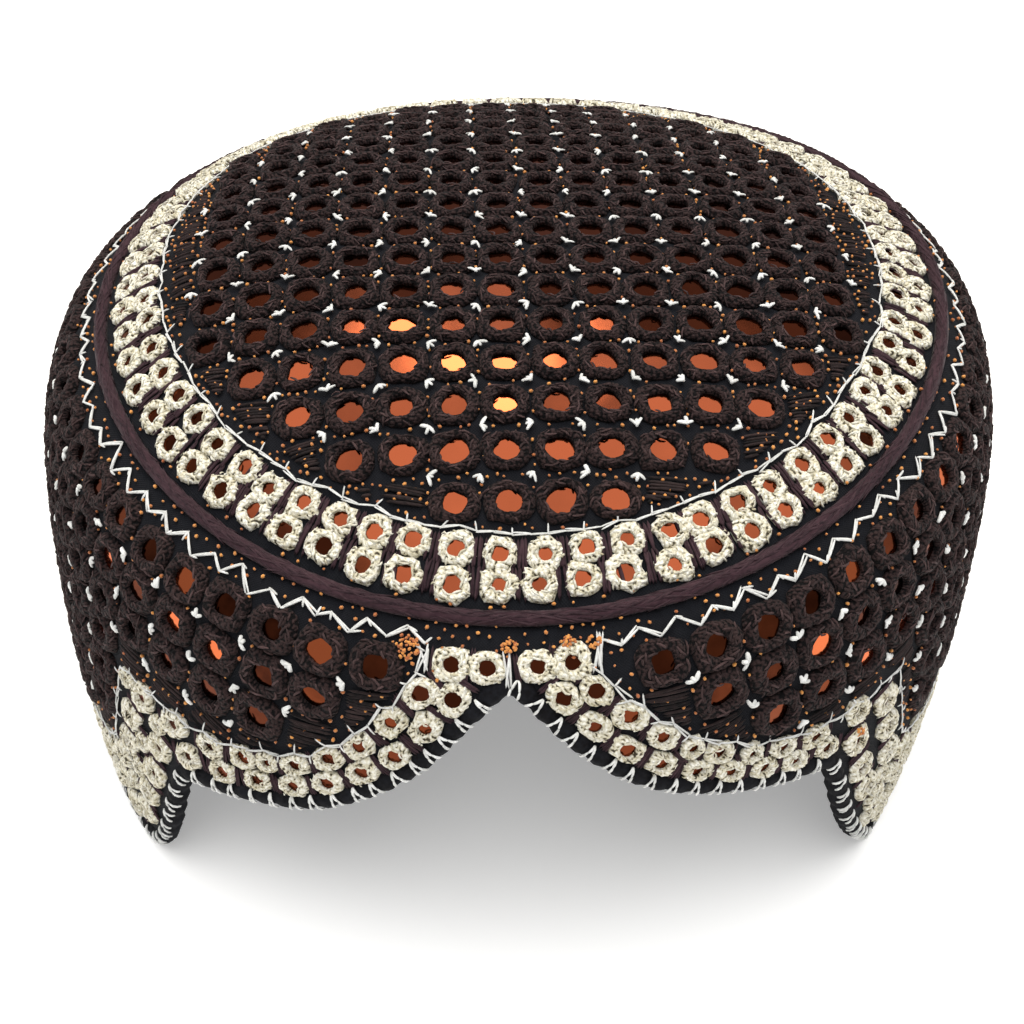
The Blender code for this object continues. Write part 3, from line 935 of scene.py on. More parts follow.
def seeds_about(spots, reach, share, chance):
    """Places of seed stitches on the four arms from each grid corner."""
    found = []
    for turn in range(4):
        arm = np.array((math.cos(turn * math.pi / 2), math.sin(turn * math.pi / 2)))
        for low, high in SEED_REACHES:
            kept = chance.random(len(spots)) < share
            size = chance.uniform(low, high, (len(spots), 1))
            shift = chance.normal(size=(len(spots), 2)) * 0.25
            found.append((spots + (arm * size + shift) * reach)[kept])
    return np.concatenate(found)


def thinned(surface, spots, least):
    """Leave out each place that is nearer than a distance to one kept before it."""
    points, kept = surface(*spots.T), []
    for number, point in enumerate(points):
        if not kept or np.linalg.norm(points[kept] - point, axis=-1).min() >= least:
            kept.append(number)
    return spots[kept]


def per_millimetre(surface, spots):
    """Chart units to a millimetre on each axis at each place."""
    lengths = [np.linalg.norm(part, axis=-1) for part in slopes(surface, *spots.T)]
    return 2 * SURFACE_STEP / np.stack(lengths, -1)


def stitched_line(surface, joints, chance, tick, loose, doubled=0.3, both_sides=False, every=1):
    """Starts and ends of the threads of a stitched line through its joints: two side by side for
    each leg, and a short tick at each joint or at every second one."""
    starts, ends = joints[:-1], joints[1:]
    scale = per_millimetre(surface, starts)
    forward = unit((ends - starts) / scale)
    aside = np.stack((-forward[:, 1], forward[:, 0]), -1)
    lines = []
    for shift in (-0.5, 0.5):
        wander = shift * doubled + chance.normal(size=(len(starts), 1)) * loose
        lines.append((starts + (aside * wander - forward * 0.25) * scale,
                      ends + (aside * wander * 0.2 + forward * 0.25) * scale))
    side = np.where(np.arange(len(starts)) % 2, -1.0, 1.0) if both_sides else np.ones(len(starts))
    lean = chance.normal(size=(len(starts), 1)) * 0.45
    length = tick * chance.uniform(0.7, 1.3, (len(starts), 1))
    point = (aside * side[:, None] + forward * lean) * length
    lines.append(((starts - point * 0.2 * scale)[::every], (starts + point * scale)[::every]))
    return np.concatenate(lines, 1)


def satin_lines(cells, turns, size, reach, inside, chance):
    """Starts and ends of parallel threads that fill cells of one size, cut where inside() ends."""
    width, height = size
    across = np.linspace(-0.5, 0.5, SATIN_SAMPLES) * width
    lines = []
    for middle, turn, scale in zip(cells, turns, reach):
        for offset in np.arange(-height / 2 + SATIN_SPACING / 2, height / 2, SATIN_SPACING):
            line = rotated(across, offset, turn) * scale + middle
            good = np.flatnonzero(inside(line))
            if len(good) * width / SATIN_SAMPLES > SATIN_LEAST:
                lines.append(line[good[[0, -1]]] + chance.normal(size=(2, 2)) * 0.22 * scale)
    return np.stack(lines, 1)


def band_field_places():
    """Places of the mirrors and of the knots in the band's grid."""
    numbers = np.arange(BAND_COLUMNS)
    rows = BAND_ROW_PITCH * np.arange(BAND_ROWS + 1)
    mirror_columns = BAND_COLUMN_START - BAND_COLUMN_PITCH * (numbers[:-1] + 0.5)
    knot_columns = BAND_COLUMN_START - BAND_COLUMN_PITCH * numbers
    return [np.stack(np.meshgrid(columns, first_row + rows), -1).reshape(-1, 2)
            for columns, first_row in ((mirror_columns, BAND_MIRROR_ROW),
                                       (knot_columns, BAND_KNOT_ROW))]


def field_line():
    """The lower edge of the band's field, from beside the cusp round the back to the other
    side of the cusp. Its azimuths run down from the front through a whole turn."""
    left = FIELD_EDGE[:-1, :2] * (-1.0, 1.0)
    right = FIELD_EDGE[:-1, ::2] - (360.0, 0.0)
    return np.concatenate((((-8.9, 6.6),), left, right[::-1], ((9.3 - 360.0, 6.4),)))


FIELD_LINE = evenly(field_line(), 0.5)
FIELD_LINE_POINTS = wall(*FIELD_LINE.T)


def border_rings(chance):
    """Places, turns and sizes of the cream rings between the rim and the band's field."""
    depths = np.arange(BORDER_DEPTHS[0], BORDER_DEPTHS[1], BORDER_STEP)
    lines = np.stack([moved_in(RIM, depth) for depth in depths], 1)
    azimuth, down = lines[..., 0], lines[..., 1]
    near_cusp = np.abs(azimuth) < 9.2
    past = np.where(near_cusp, down < 5.0, down < field_edge(azimuth))
    reached = past.argmax(1)
    width = np.where(past.any(1), depths[reached], 20.0)
    free = width - 3.4
    height = np.clip(free / 2 + 0.35, *BORDER_HEIGHTS)
    length = np.clip(height + 1.9, *BORDER_WIDTHS)
    spots = [ring[:2] for ring in CUSP_RINGS]
    turns = [ring[2] for ring in CUSP_RINGS]
    sizes = [ring[3:] for ring in CUSP_RINGS]
    front = int(np.abs(RIM[:, 0]).argmin())
    before, after = (wall(*points.T) for points in beside(RIM))

    def fits(spot, size, slack):
        """Whether a ring is clear of those before it, measured on the cloth."""
        gap = np.linalg.norm(wall(*np.array(spots).T) - wall(*spot), axis=-1)
        reach = (np.array(sizes).mean(1) + sum(size) / 2) / 2
        return (gap >= reach * slack).all()

    for share in BORDER_ROWS:
        for order in (range(front, -1, -1), range(front + 1, len(RIM))):
            last = None
            for number in order:
                depth = 3.3 + free[number] * share
                step = int(np.clip((depth - depths[0]) / BORDER_STEP, 0, len(depths) - 1))
                spot = tuple(lines[number, step])
                if abs(spot[0]) < 7.0 and spot[1] < 12.5:
                    continue
                point = wall(*spot)
                if last is not None and np.linalg.norm(point - last) < length[number] * 1.03:
                    continue
                if fits(spot, (length[number], height[number]), 0.84):
                    forward = after[number] - before[number]
                    right = wall(spot[0] + NUDGE, spot[1]) - wall(*spot)
                    up = wall(spot[0], spot[1] - NUDGE) - wall(*spot)
                    turns.append(math.atan2(forward @ unit(up), forward @ unit(right)))
                    spots.append(spot)
                    sizes.append((length[number], height[number]))
                    last = point
    fill = np.stack(np.meshgrid(np.arange(-180.0, 180.0, 0.8), np.arange(6.0, 100.0, 1.2)), -1)
    fill = fill.reshape(-1, 2)
    fill = fill[(fill[:, 1] > field_edge(fill[:, 0])) & (np.abs(fill[:, 0]) > CUSP_HALF)]
    rim_down = np.interp(fill[:, 0], *RIM[np.argsort(RIM[:, 0])].T)
    fill = fill[fill[:, 1] < rim_down - depths[0]]
    fill = fill[far_from(fill, RIM_POINTS, BORDER_FROM_RIM)]
    for spot in fill[far_from(fill, FIELD_LINE_POINTS, BORDER_FROM_FIELD)]:
        if fits(tuple(spot), BORDER_FILL, 0.9):
            spots.append(tuple(spot))
            turns.append(chance.random() * 1.5)
            sizes.append(BORDER_FILL_DRAWN)
    return np.array(spots), np.array(turns), np.array(sizes)


def roll_frames():
    """The middle of the rolled binding at each place along the rim, with its outward direction
    and its direction towards the edge."""
    line = moved_in(RIM, BINDING_RADIUS)
    edge = moved_in(RIM, BINDING_RADIUS - 0.5)
    normal = outward(wall, *line.T)
    middle = wall(*line.T) - normal * BINDING_DEPTH
    towards = wall(*edge.T) - wall(*line.T)
    towards = unit(towards - normal * (towards * normal).sum(-1, keepdims=True))
    return middle, normal, towards


ROLL_MIDDLE, ROLL_NORMAL, ROLL_TOWARDS = roll_frames()


def roll(number, turn):
    """Points on the rolled binding, by the place along the rim and the turn round the roll."""
    count = len(RIM)
    steps = np.arange(-2, count + 3)
    parts = []
    for table in (ROLL_MIDDLE, ROLL_NORMAL, ROLL_TOWARDS):
        columns = [np.interp(number, steps, np.take(table[:, axis], steps % count))
                   for axis in range(3)]
        parts.append(np.stack(columns, -1))
    angle = np.radians(turn)[..., None]
    return parts[0] + BINDING_RADIUS * (np.cos(angle) * parts[1] + np.sin(angle) * parts[2])


# What a user may change

def colour_setting(name, code, description):
    """A colour property with its default given as an sRGB hex value."""
    return bpy.props.FloatVectorProperty(name=name, description=description, subtype="COLOR",
                                         size=4, min=0.0, max=1.0, default=linear(code))


def length_setting(name, size, description):
    """A length property with its default given in millimetres."""
    return bpy.props.FloatProperty(name=name, description=description, unit="LENGTH",
                                   precision=5, min=0.0, default=size * MM)


class CapSizes(bpy.types.PropertyGroup):
    """Sizes of the mirror work."""
    crown_pitch: length_setting("Crown pitch", 8.8, "Distance between mirrors on the crown")
    crown_hole: length_setting("Crown mirror", 2.25, "Half width of a mirror on the crown")
    band_hole: length_setting("Band mirror", 1.95, "Half width of a mirror on the band")
    cream_hole: length_setting("Border mirror", 1.22, "Half width of a mirror in a border")
    seed_size: length_setting("Seed stitch", 0.72, "Width of a seed stitch")
    white_thread: length_setting("White thread", 0.5, "Width of the white thread")
    satin_thread: length_setting("Satin thread", 0.55, "Width of the brown satin thread")


class CapColours(bpy.types.PropertyGroup):
    """Colours of the cloth, the threads and the mirrors."""
    cloth: colour_setting("Cloth", "#0d0e12", "The cotton of the crown and the band")
    cloth_lint: colour_setting("Cloth lint", "#191a1f", "Lighter fibres of the cotton")
    brown_dark: colour_setting("Dark brown floss", "#1c1213", "The shaded side of the floss")
    brown_light: colour_setting("Light brown floss", "#584342", "The lit fibres of the floss")
    brown_mid: colour_setting("Middle brown floss", "#382a29", "Floss that lies in the shade")
    # The near black below is painted shade in the pits of the brown rings, and also the darkest
    # colour of the binding and of the brown satin.
    brown_gap: colour_setting("Gaps in the brown", "#060405", "Cloth between brown stitches")
    cream_dark: colour_setting("Dark cream floss", "#c9bf9f", "The shaded side of the floss")
    cream_light: colour_setting("Light cream floss", "#fdfaee", "The lit fibres of the floss")
    # The cream rings' pits are painted in the colour below, a painted shade.
    cream_gap: colour_setting("Gaps in the cream", "#4a4336", "Cloth between cream stitches")
    white: colour_setting("White thread", "#f6f6f3", "Knots, zigzag and whip stitches")
    white_shade: colour_setting("White thread shade", "#d4d4d0", "Its shaded fibres")
    plait_dark: colour_setting("Dark plait", "#26151c", "The shaded side of the seam's plait")
    plait_light: colour_setting("Light plait", "#463036", "The lit side of the seam's plait")
    copper: colour_setting("Copper mirror", "#6d3520", "A clean mirror")
    copper_clean: colour_setting("Clean mirror", "#cf6c42", "A newer mirror on the band")
    copper_dull: colour_setting("Dull mirror", "#2a120b", "A tarnished mirror")
    seed_dark: colour_setting("Dark seed stitch", "#a85a26", "The deepest orange")
    seed_light: colour_setting("Light seed stitch", "#de9642", "The lightest mustard")
    floor: colour_setting("Floor", "#f4f3f1", "The studio floor")


FINISHES = {
    # name: what makes it, the colours it takes, and its other values
    "woven cotton": (cotton_material, "cloth cloth_lint", ()),
    "rolled cotton": (cord_material, "brown_gap cloth_lint", (1400.0, 0.0)),
    "plaited floss": (cord_material, "plait_dark plait_light", (900.0, 0.1)),
    "brown buttonhole floss": (ring_material, "brown_dark brown_mid brown_gap",
                               (22, 1500.0, -0.16)),
    "cream buttonhole floss": (ring_material, "cream_dark cream_light cream_gap",
                               (15, 1150.0, -0.4)),
    "brown satin floss": (thread_material, "brown_gap brown_mid", (0.02,)),
    "brown looped floss": (thread_material, "brown_dark brown_light", (0.02,)),
    "cream looped floss": (thread_material, "cream_dark cream_light", (0.1,)),
    "white thread": (thread_material, "white_shade white", (0.1,)),
    "long floss": (thread_material, "plait_dark plait_light", (0.03, 8)),
    "copper mirror glass": (mirror_material, "copper copper_dull", ()),
    "clean mirror glass": (mirror_material, "copper_clean copper_dull", ()),
    "orange seed floss": (seed_material, "seed_dark seed_light", ()),
    "opal acrylic": (floor_material, "floor", ()),
}


def finish_of(name):
    """A material of the cap by name, made when it is first asked for."""
    if name not in bpy.data.materials:
        make, keys, values = FINISHES[name]
        colours = bpy.context.scene.cap_colours
        make(name, *(tuple(getattr(colours, key)) for key in keys.split()), *values)
    return bpy.data.materials[name]


def settle(piece, finish, replaced=None):
    """Give a finished piece its material and its body, and hide the node that it replaces."""
    piece.data.materials.clear()
    piece.data.materials.append(finish_of(finish))
    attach(piece, "root")
    if replaced:
        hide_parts(replaced)


def in_mm(key):
    """A size of the mirror work in millimetres."""
    return getattr(bpy.context.scene.cap_sizes, key) / MM


def tones_about(middle, spread):
    """Tones of mirrors that differ a little from a middle one."""
    return lambda chance, count: np.clip(chance.normal(middle, spread, count), 0.0, 1.0)


def mostly_dark(chance, count):
    """Tones of the band's mirrors: about a quarter of them are bright, the rest dark, at random.
    """
    return np.where(chance.random(count) < 0.24, 0.95, chance.uniform(-0.1, 0.12, count))


def mirror_work(start, surface, places, work, rough, glass, tuck, tones, node, chance,
                thick=1.0):
    """Rings, the threads that cross them and their mirrors, named after the same start. Places
    holds the spots, turns, sizes and holes. Tuck is how far a mirror reaches under its ring."""
    spots, turns, _, hole = places
    rings = add_rings(start + "_rings", surface, *places, work["squareness"], rough, chance,
                      thick)
    settle(rings, work["rings"], node)
    threads = add_ring_threads(start + "_threads", surface, *places, work["squareness"],
                               work["width"], work["rows"], chance, thick)
    settle(threads, work["threads"])
    mirrors = add_mirrors(start + "_mirrors", surface, spots, turns, hole + tuck,
                          tones(chance, len(spots)), chance)
    settle(mirrors, glass)


def white_knots(name, surface, spots, reach, widths, chance):
    """White knots of three threads each, with widths between two."""
    lines = knots_at(spots, reach, chance)
    width = chance.uniform(*widths, lines.shape[1])
    settle(add_stitches(name, surface, lines, width, 0.25, KNOT_LEVEL, chance, flat=0.7),
           "white thread")


def orange_seeds(name, surface, places, gap, chance):
    """Seed stitches at places, but none nearer than a gap to one before it."""
    spots = thinned(surface, np.concatenate(places), gap)
    sizes = in_mm("seed_size") * chance.uniform(0.75, 1.25, len(spots))
    settle(add_seeds(name, surface, spots, sizes, SEED_LEVEL, chance), "orange seed floss")


def dark_satin(name, surface, cells, turn, size, reach, inside, chance):
    """Satin that fills the cells cut by the field's edge."""
    turns = turn + chance.normal(size=len(cells)) * 0.15
    lines = satin_lines(cells, turns, size, reach, inside, chance)
    satin = add_stitches(name, surface, lines, in_mm("satin_thread") * 1.15, 0.2,
                         THREAD_LEVEL + 0.1, chance, kind="loop")
    settle(satin, "brown satin floss")


class CapOperator:
    """What every operator of this add-on shares."""
    bl_options = {"REGISTER", "UNDO"}

    def execute(self, context):
        """Build the pieces. A mistake in them raises an error."""
        self.build()
        return {"FINISHED"}


class CAP_OT_cloth(CapOperator, bpy.types.Operator):
    """Build the quilted cotton of the crown and of the side band"""
    bl_idname = "cap.cloth"
    bl_label = "Cloth"

    def build(self):
        """Make both shells."""
        def crown_places(share, other):
            return polar(share * 360.0, other * CROWN_SHELL_REACH).T

        shell = add_shell("crown_shell", crown, *CROWN_SHELL_GRID, crown_places,
                          lambda x, y: (x, y))
        settle(shell, "woven cotton", "crown_cloth")
        line = moved_in(RIM, BAND_SHELL_EDGE)
        azimuth = (line[:, 0] + 180.0) % 360.0 - 180.0
        order = np.argsort(azimuth)
        azimuth, down = azimuth[order], line[order, 1]
        azimuth = np.concatenate((azimuth[-1:] - 360.0, azimuth, azimuth[:1] + 360.0))
        down = np.concatenate((down[-1:], down, down[:1]))
        columns = spread_columns(azimuth, down)

        def band_places(share, other):
            here = np.interp(share, np.linspace(0.0, 1.0, len(columns)), columns)
            lowest = np.interp(here, azimuth, down)
            return here, BAND_SHELL_TOP + (lowest - BAND_SHELL_TOP) * (1 - other)

        shell = add_shell("band_shell", wall, *BAND_SHELL_GRID, band_places,
                          lambda x, y: (x * 1.5, -y))
        settle(shell, "woven cotton", "side_band")


def spread_columns(azimuth, down):
    """Azimuths of the band shell's columns, evenly spaced along its lower edge, once round."""
    fine = np.linspace(-180.0, 180.0, 1441)
    lowest = np.interp(fine, azimuth, down)
    steps = np.hypot(np.diff(fine) * 1.6, np.diff(lowest))
    walked = np.concatenate(((0.0,), np.cumsum(steps)))
    return np.interp(np.linspace(0.0, walked[-1], BAND_SHELL_GRID[0] + 1), walked, fine)


class CAP_OT_binding(CapOperator, bpy.types.Operator):
    """Build the rolled binding round the rim and the white whip stitches over it"""
    bl_idname = "cap.binding"
    bl_label = "Rim binding"

    def build(self):
        """Make the roll, pinched where the stitches cross it, and the stitches."""
        count = len(RIM)
        waves = round(count * RIM_STEP / WHIP_PITCH)
        phase = np.arange(count) * 2 * math.pi * waves / count
        radius = BINDING_RADIUS * (BINDING_SWELL[0] - BINDING_SWELL[1] * np.cos(phase))
        binding = add_cord("binding_roll", ROLL_MIDDLE, radius, sides=3)
        for vertex in binding.data.vertices:
            vertex.co.z = max(vertex.co.z, 0.0)
        settle(binding, "rolled cotton", "rim_binding")
        chance = np.random.default_rng(31)
        joints = np.arange(waves) * count / waves + chance.normal(size=waves) * 0.35
        lines = []
        for lean in (-0.2, 0.24):
            reach = WHIP_PITCH * lean + chance.normal(size=waves) * 0.3
            middle = joints + reach * 0.55
            end = paired(joints + reach, chance.uniform(45.0, 75.0, waves))
            lines += [(paired(joints, -45.0), paired(middle, 8.0)), (paired(middle, 2.0), end)]
        stitches = add_stitches("whip_stitches", roll, np.concatenate(lines, 1),
                                in_mm("white_thread") * 1.05, 0.15, 0.0, chance)
        settle(stitches, "white thread")


class CAP_OT_plait(CapOperator, bpy.types.Operator):
    """Build the band of long floss threads that cross over a core on the seam"""
    bl_idname = "cap.plait"
    bl_label = "Seam plait"

    def build(self):
        """Make the round core, and the long threads that cross over it from edge to edge."""
        chance = np.random.default_rng(32)
        around = np.arange(360.0)
        line = raised(wall, around, np.full(360, -0.1), np.full(360, -0.4))
        core = add_cord("seam_plait", line, PLAIT_CORE_RADIUS, sides=2)
        settle(core, "plaited floss", "crown_braid")
        lines = []
        for side in (-1.0, 1.0):
            turn = np.arange(PLAIT_THREADS) + chance.normal(size=PLAIT_THREADS) * 0.6
            turn = turn * 360.0 / PLAIT_THREADS
            ends = []
            for shift, edge in ((0.0, -side), (PLAIT_SWEEP, side)):
                azimuth = turn + shift + chance.normal(size=PLAIT_THREADS) * 0.5
                down = edge * PLAIT_WIDTH + chance.normal(size=PLAIT_THREADS) * 0.16 - 0.1
                ends.append(paired(azimuth, down))
            lines.append(ends)
        lift = chance.uniform(1.2, 1.5, 2 * PLAIT_THREADS)
        threads = add_stitches("seam_threads", wall, np.concatenate(lines, 1),
                               PLAIT_THREAD_WIDTH, lift, SEAM_LEVEL, chance, kind="loop")
        settle(threads, "long floss")


class CAP_OT_crown_field(CapOperator, bpy.types.Operator):
    """Build the dark mirror work in the middle of the crown"""
    bl_idname = "cap.crown_field"
    bl_label = "Crown field"

    def build(self):
        """Make the rings, mirrors, knots, seed stitches and satin of the crown's field."""
        chance = np.random.default_rng(11)
        pitch = in_mm("crown_pitch")
        cells = crown_grid(2, pitch)
        radius = np.hypot(*cells.T)
        whole = cells[radius < CROWN_RING_REACH]
        cut = cells[(radius >= CROWN_RING_REACH) & (radius < CROWN_CUT_REACH)]
        spots = whole + chance.normal(size=whole.shape) * 0.12
        turns = FIELD_TURN + chance.normal(size=len(spots)) * 0.05
        room = (CROWN_FEATHER_RADIUS - 0.6 - np.hypot(*spots.T)) * 2
        tall = np.interp(spots[:, 1], (-60.0, -30.0), (0.85, 0.94))
        full = pitch * paired(0.985, tall)
        sizes = np.where(np.abs(spots[:, ::-1]) > np.abs(spots), full,
                         np.clip(room[:, None], 6.4, full))
        sizes = sizes * chance.uniform(0.97, 1.03, (len(spots), 2))
        hole = in_mm("crown_hole") * chance.uniform(0.88, 1.08, len(spots))
        hole = hole * sizes.mean(1) / full.mean(1)
        mirror_work("crown_field", crown, (spots, turns, sizes, hole), BROWN_WORK, 0.035,
                    "copper mirror glass", 0.5, tones_about(0.75, 0.22), "crown_mirror_field",
                    chance)
        corners = crown_grid(1, pitch)
        corners = corners[np.hypot(*corners.T) < CROWN_KNOT_REACH]
        one = np.ones((len(corners), 2))
        white_knots("crown_knots", crown, corners + chance.normal(size=corners.shape) * 0.2, one,
                    (0.55, 0.8), chance)
        seeds = seeds_about(corners, one, 0.6, chance)
        count, low, high = CROWN_SCATTER
        scatter = polar(chance.uniform(0, 360, count), chance.uniform(low, high, count))
        gap = np.abs(rotated(*np.moveaxis(scatter[:, None] - spots[None], -1, 0), -FIELD_TURN))
        scatter = scatter[(gap - sizes / 2).max(-1).min(1) > 0.1]
        outer = polar(np.linspace(0, 357, OUTER_SEED_COUNT) + chance.normal(size=OUTER_SEED_COUNT),
                      OUTER_SEED_RADIUS + chance.normal(size=OUTER_SEED_COUNT) * 0.3)
        orange_seeds("crown_seeds", crown, (seeds, scatter, outer), CROWN_SEED_GAP, chance)

        def in_field(line):
            return np.hypot(*line.T) < CROWN_SATIN_REACH

        dark_satin("crown_satin", crown, cut, FIELD_TURN, (7.6, 7.6), np.ones((len(cut), 2)),
                   in_field, chance)


class CAP_OT_crown_border(CapOperator, bpy.types.Operator):
    """Build the cream border of the crown and the white line inside it"""
    bl_idname = "cap.crown_border"
    bl_label = "Crown border"

    def build(self):
        """Make two rows of cream rings with their mirrors, satin and feather stitches."""
        chance = np.random.default_rng(12)
        rows = []
        for radius, shift in CREAM_ROWS:
            row = np.arange(CREAM_COUNT) * 360.0 / CREAM_COUNT + shift
            rows.append((row + chance.normal(size=CREAM_COUNT) * 0.35,
                         radius + chance.normal(size=CREAM_COUNT) * 0.25))
        azimuth, radius = np.concatenate(rows, 1)
        spots = polar(azimuth, radius)
        turns = np.radians(azimuth) + chance.normal(size=len(spots)) * 0.12
        inner = radius < CREAM_ROW_SPLIT
        width = np.where(inner, 6.1, 6.5) * chance.uniform(0.95, 1.05, len(spots))
        height = np.where(inner, 5.9, 6.1) * chance.uniform(0.96, 1.06, len(spots))
        hole = in_mm("cream_hole") * chance.uniform(0.85, 1.25, len(spots))
        thick = CREAM_THICK + 0.45 * np.clip(-np.cos(np.radians(azimuth)), 0.0, 1.0)[:, None]
        mirror_work("crown_border", crown, (spots, turns, paired(width, height), hole),
                    CREAM_WORK, 0.07, "copper mirror glass", 0.45, tones_about(0.62, 0.2),
                    "crown_cream_border", chance, thick)
        half = 180.0 / CREAM_COUNT
        lines = []
        for shift in CREAM_SATIN_TURNS:
            for low, high in CREAM_SATIN_RADII:
                turn = np.arange(CREAM_COUNT) * 2 * half + CREAM_SATIN_START + half + shift
                turn = turn + chance.normal(size=CREAM_COUNT) * 0.15
                start = polar(turn, low + chance.uniform(-0.2, 0.2, CREAM_COUNT))
                end = polar(turn + chance.normal(size=CREAM_COUNT) * 0.35,
                            high + chance.uniform(-0.3, 0.3, CREAM_COUNT))
                lines.append((start, end))
        satin = add_stitches("crown_border_satin", crown, np.concatenate(lines, 1),
                             in_mm("satin_thread") * 1.15, 0.2, THREAD_LEVEL, chance, kind="loop")
        settle(satin, "long floss")
        around = np.arange(FEATHER_COUNT + 1) * 360.0 / FEATHER_COUNT
        wander = chance.normal(size=FEATHER_COUNT) * 0.28
        joints = polar(around, CROWN_FEATHER_RADIUS + np.append(wander, wander[0]))
        lines = stitched_line(crown, joints, chance, tick=1.6, loose=0.16, every=2)
        feather = add_stitches("crown_feather_line", crown, lines, in_mm("white_thread") * 0.68,
                               0.12, LINE_LEVEL, chance)
        settle(feather, "white thread")


class CAP_OT_band_field(CapOperator, bpy.types.Operator):
    """Build the dark mirror work of the side band"""
    bl_idname = "cap.band_field"
    bl_label = "Band field"

    def build(self):
        """Make the rings, mirrors, knots, seed stitches and satin of the band's field."""
        chance = np.random.default_rng(21)
        cells, corners = band_field_places()
        inside = cells[:, 1] < field_edge(cells[:, 0])
        clear = inside & far_from(cells, FIELD_LINE_POINTS, 3.9)
        spots = cells[clear]
        cut = cells[~clear & (cells[:, 1] < field_edge(cells[:, 0]) + 5.0)]
        spots = spots + chance.normal(size=spots.shape) * (0.1, 0.15)
        left, right = (wall(spots[:, 0] + shift, spots[:, 1])
                       for shift in (-BAND_COLUMN_PITCH / 2, BAND_COLUMN_PITCH / 2))
        sizes = paired(np.linalg.norm(right - left, axis=-1) * 0.97, BAND_ROW_PITCH * 0.98)
        turns = chance.normal(size=len(spots)) * 0.07
        hole = in_mm("band_hole") * chance.uniform(0.85, 1.1, len(spots))
        mirror_work("band_field", wall, (spots, turns, sizes, hole), BROWN_WORK, 0.04,
                    "clean mirror glass", 0.5, mostly_dark, "band_mirror_field", chance)
        corners = corners[corners[:, 1] < field_edge(corners[:, 0])]
        corners = corners[far_from(corners, FIELD_LINE_POINTS, 2.4)]
        scale = per_millimetre(wall, corners)
        white_knots("band_knots", wall, corners, scale, (0.7, 1.0), chance)
        seeds = seeds_about(corners, scale, 0.3, chance)
        low = field_edge(np.linspace(-180, 180, 361)).max()
        scatter = paired(chance.uniform(-180, 180, BAND_SCATTER),
                         chance.uniform(1.2, low, BAND_SCATTER))
        edge = field_edge(scatter[:, 0])
        at_top = (scatter[:, 1] < BAND_TOP_SEEDS) & (np.abs(scatter[:, 0]) > CUSP_HALF)
        at_top = at_top & (chance.random(BAND_SCATTER) < 0.4)
        at_line = (scatter[:, 1] < edge) & (scatter[:, 1] > edge - 16.0)
        scatter = scatter[at_top | at_line]
        near = far_from(scatter, FIELD_LINE_POINTS, 4.2)
        scatter = scatter[~near | (scatter[:, 1] < BAND_TOP_SEEDS)]
        scatter = scatter[far_from(scatter, FIELD_LINE_POINTS, 0.9)]
        scatter = scatter[far_from(scatter, wall(*spots.T), sizes.mean(1) / 2 + 0.25)]
        orange_seeds("band_seeds", wall, (seeds, scatter), BAND_SEED_GAP, chance)

        def in_field(line):
            return line[:, 1] < field_edge(line[:, 0]) - 1.0

        dark_satin("band_satin", wall, cut, 0.0, (8.6, 7.8), per_millimetre(wall, cut), in_field,
                   chance)


class CAP_OT_band_border(CapOperator, bpy.types.Operator):
    """Build the cream border along the rim and the white line above it"""
    bl_idname = "cap.band_border"
    bl_label = "Band border"

    def build(self):
        """Make the cream rings with their mirrors, satin and feather stitches."""
        chance = np.random.default_rng(22)
        spots, turns, sizes = border_rings(chance)
        turns = turns + chance.normal(size=len(spots)) * 0.1
        hole = in_mm("cream_hole") * chance.uniform(0.8, 1.15, len(spots)) * (sizes[:, 0] / 6.9)
        sizes = sizes * chance.uniform(0.9, 0.99, (len(spots), 2))
        mirror_work("band_border", wall, (spots, turns, sizes, hole), CREAM_WORK, 0.07,
                    "copper mirror glass", 0.4, tones_about(0.5, 0.2), "band_cream_border",
                    chance, CREAM_THICK)
        scale = per_millimetre(wall, spots)
        lines = []
        for side in (-1.0, 1.0):
            for shift in (0.02, 0.5):
                x = side * (sizes[:, 0] / 2 + shift)
                lines.append([spots + rotated(x, sizes[:, 1] * y, turns) * (1.0, -1.0) * scale
                              for y in (-0.52, 0.52)])
        lines = np.concatenate(lines, 1)
        middle = lines.mean(0)
        kept = far_from(middle, RIM_POINTS, 3.9) & far_from(middle, FIELD_LINE_POINTS, 1.5)
        satin = add_stitches("band_border_satin", wall, lines[:, kept], in_mm("satin_thread"),
                             0.15, THREAD_LEVEL, chance, kind="loop")
        settle(satin, "long floss")
        joints = evenly(FIELD_LINE, 3.3)
        wander = np.where(np.arange(len(joints)) % 2, 0.4, -0.4)
        joints[:, 1] += wander + chance.normal(size=len(joints)) * 0.3
        lines = stitched_line(wall, joints, chance, tick=1.6, loose=0.18, both_sides=True)
        feather = add_stitches("band_feather_line", wall, lines, in_mm("white_thread") * 0.72,
                               0.2, LINE_LEVEL, chance, kind="loop")
        settle(feather, "white thread")


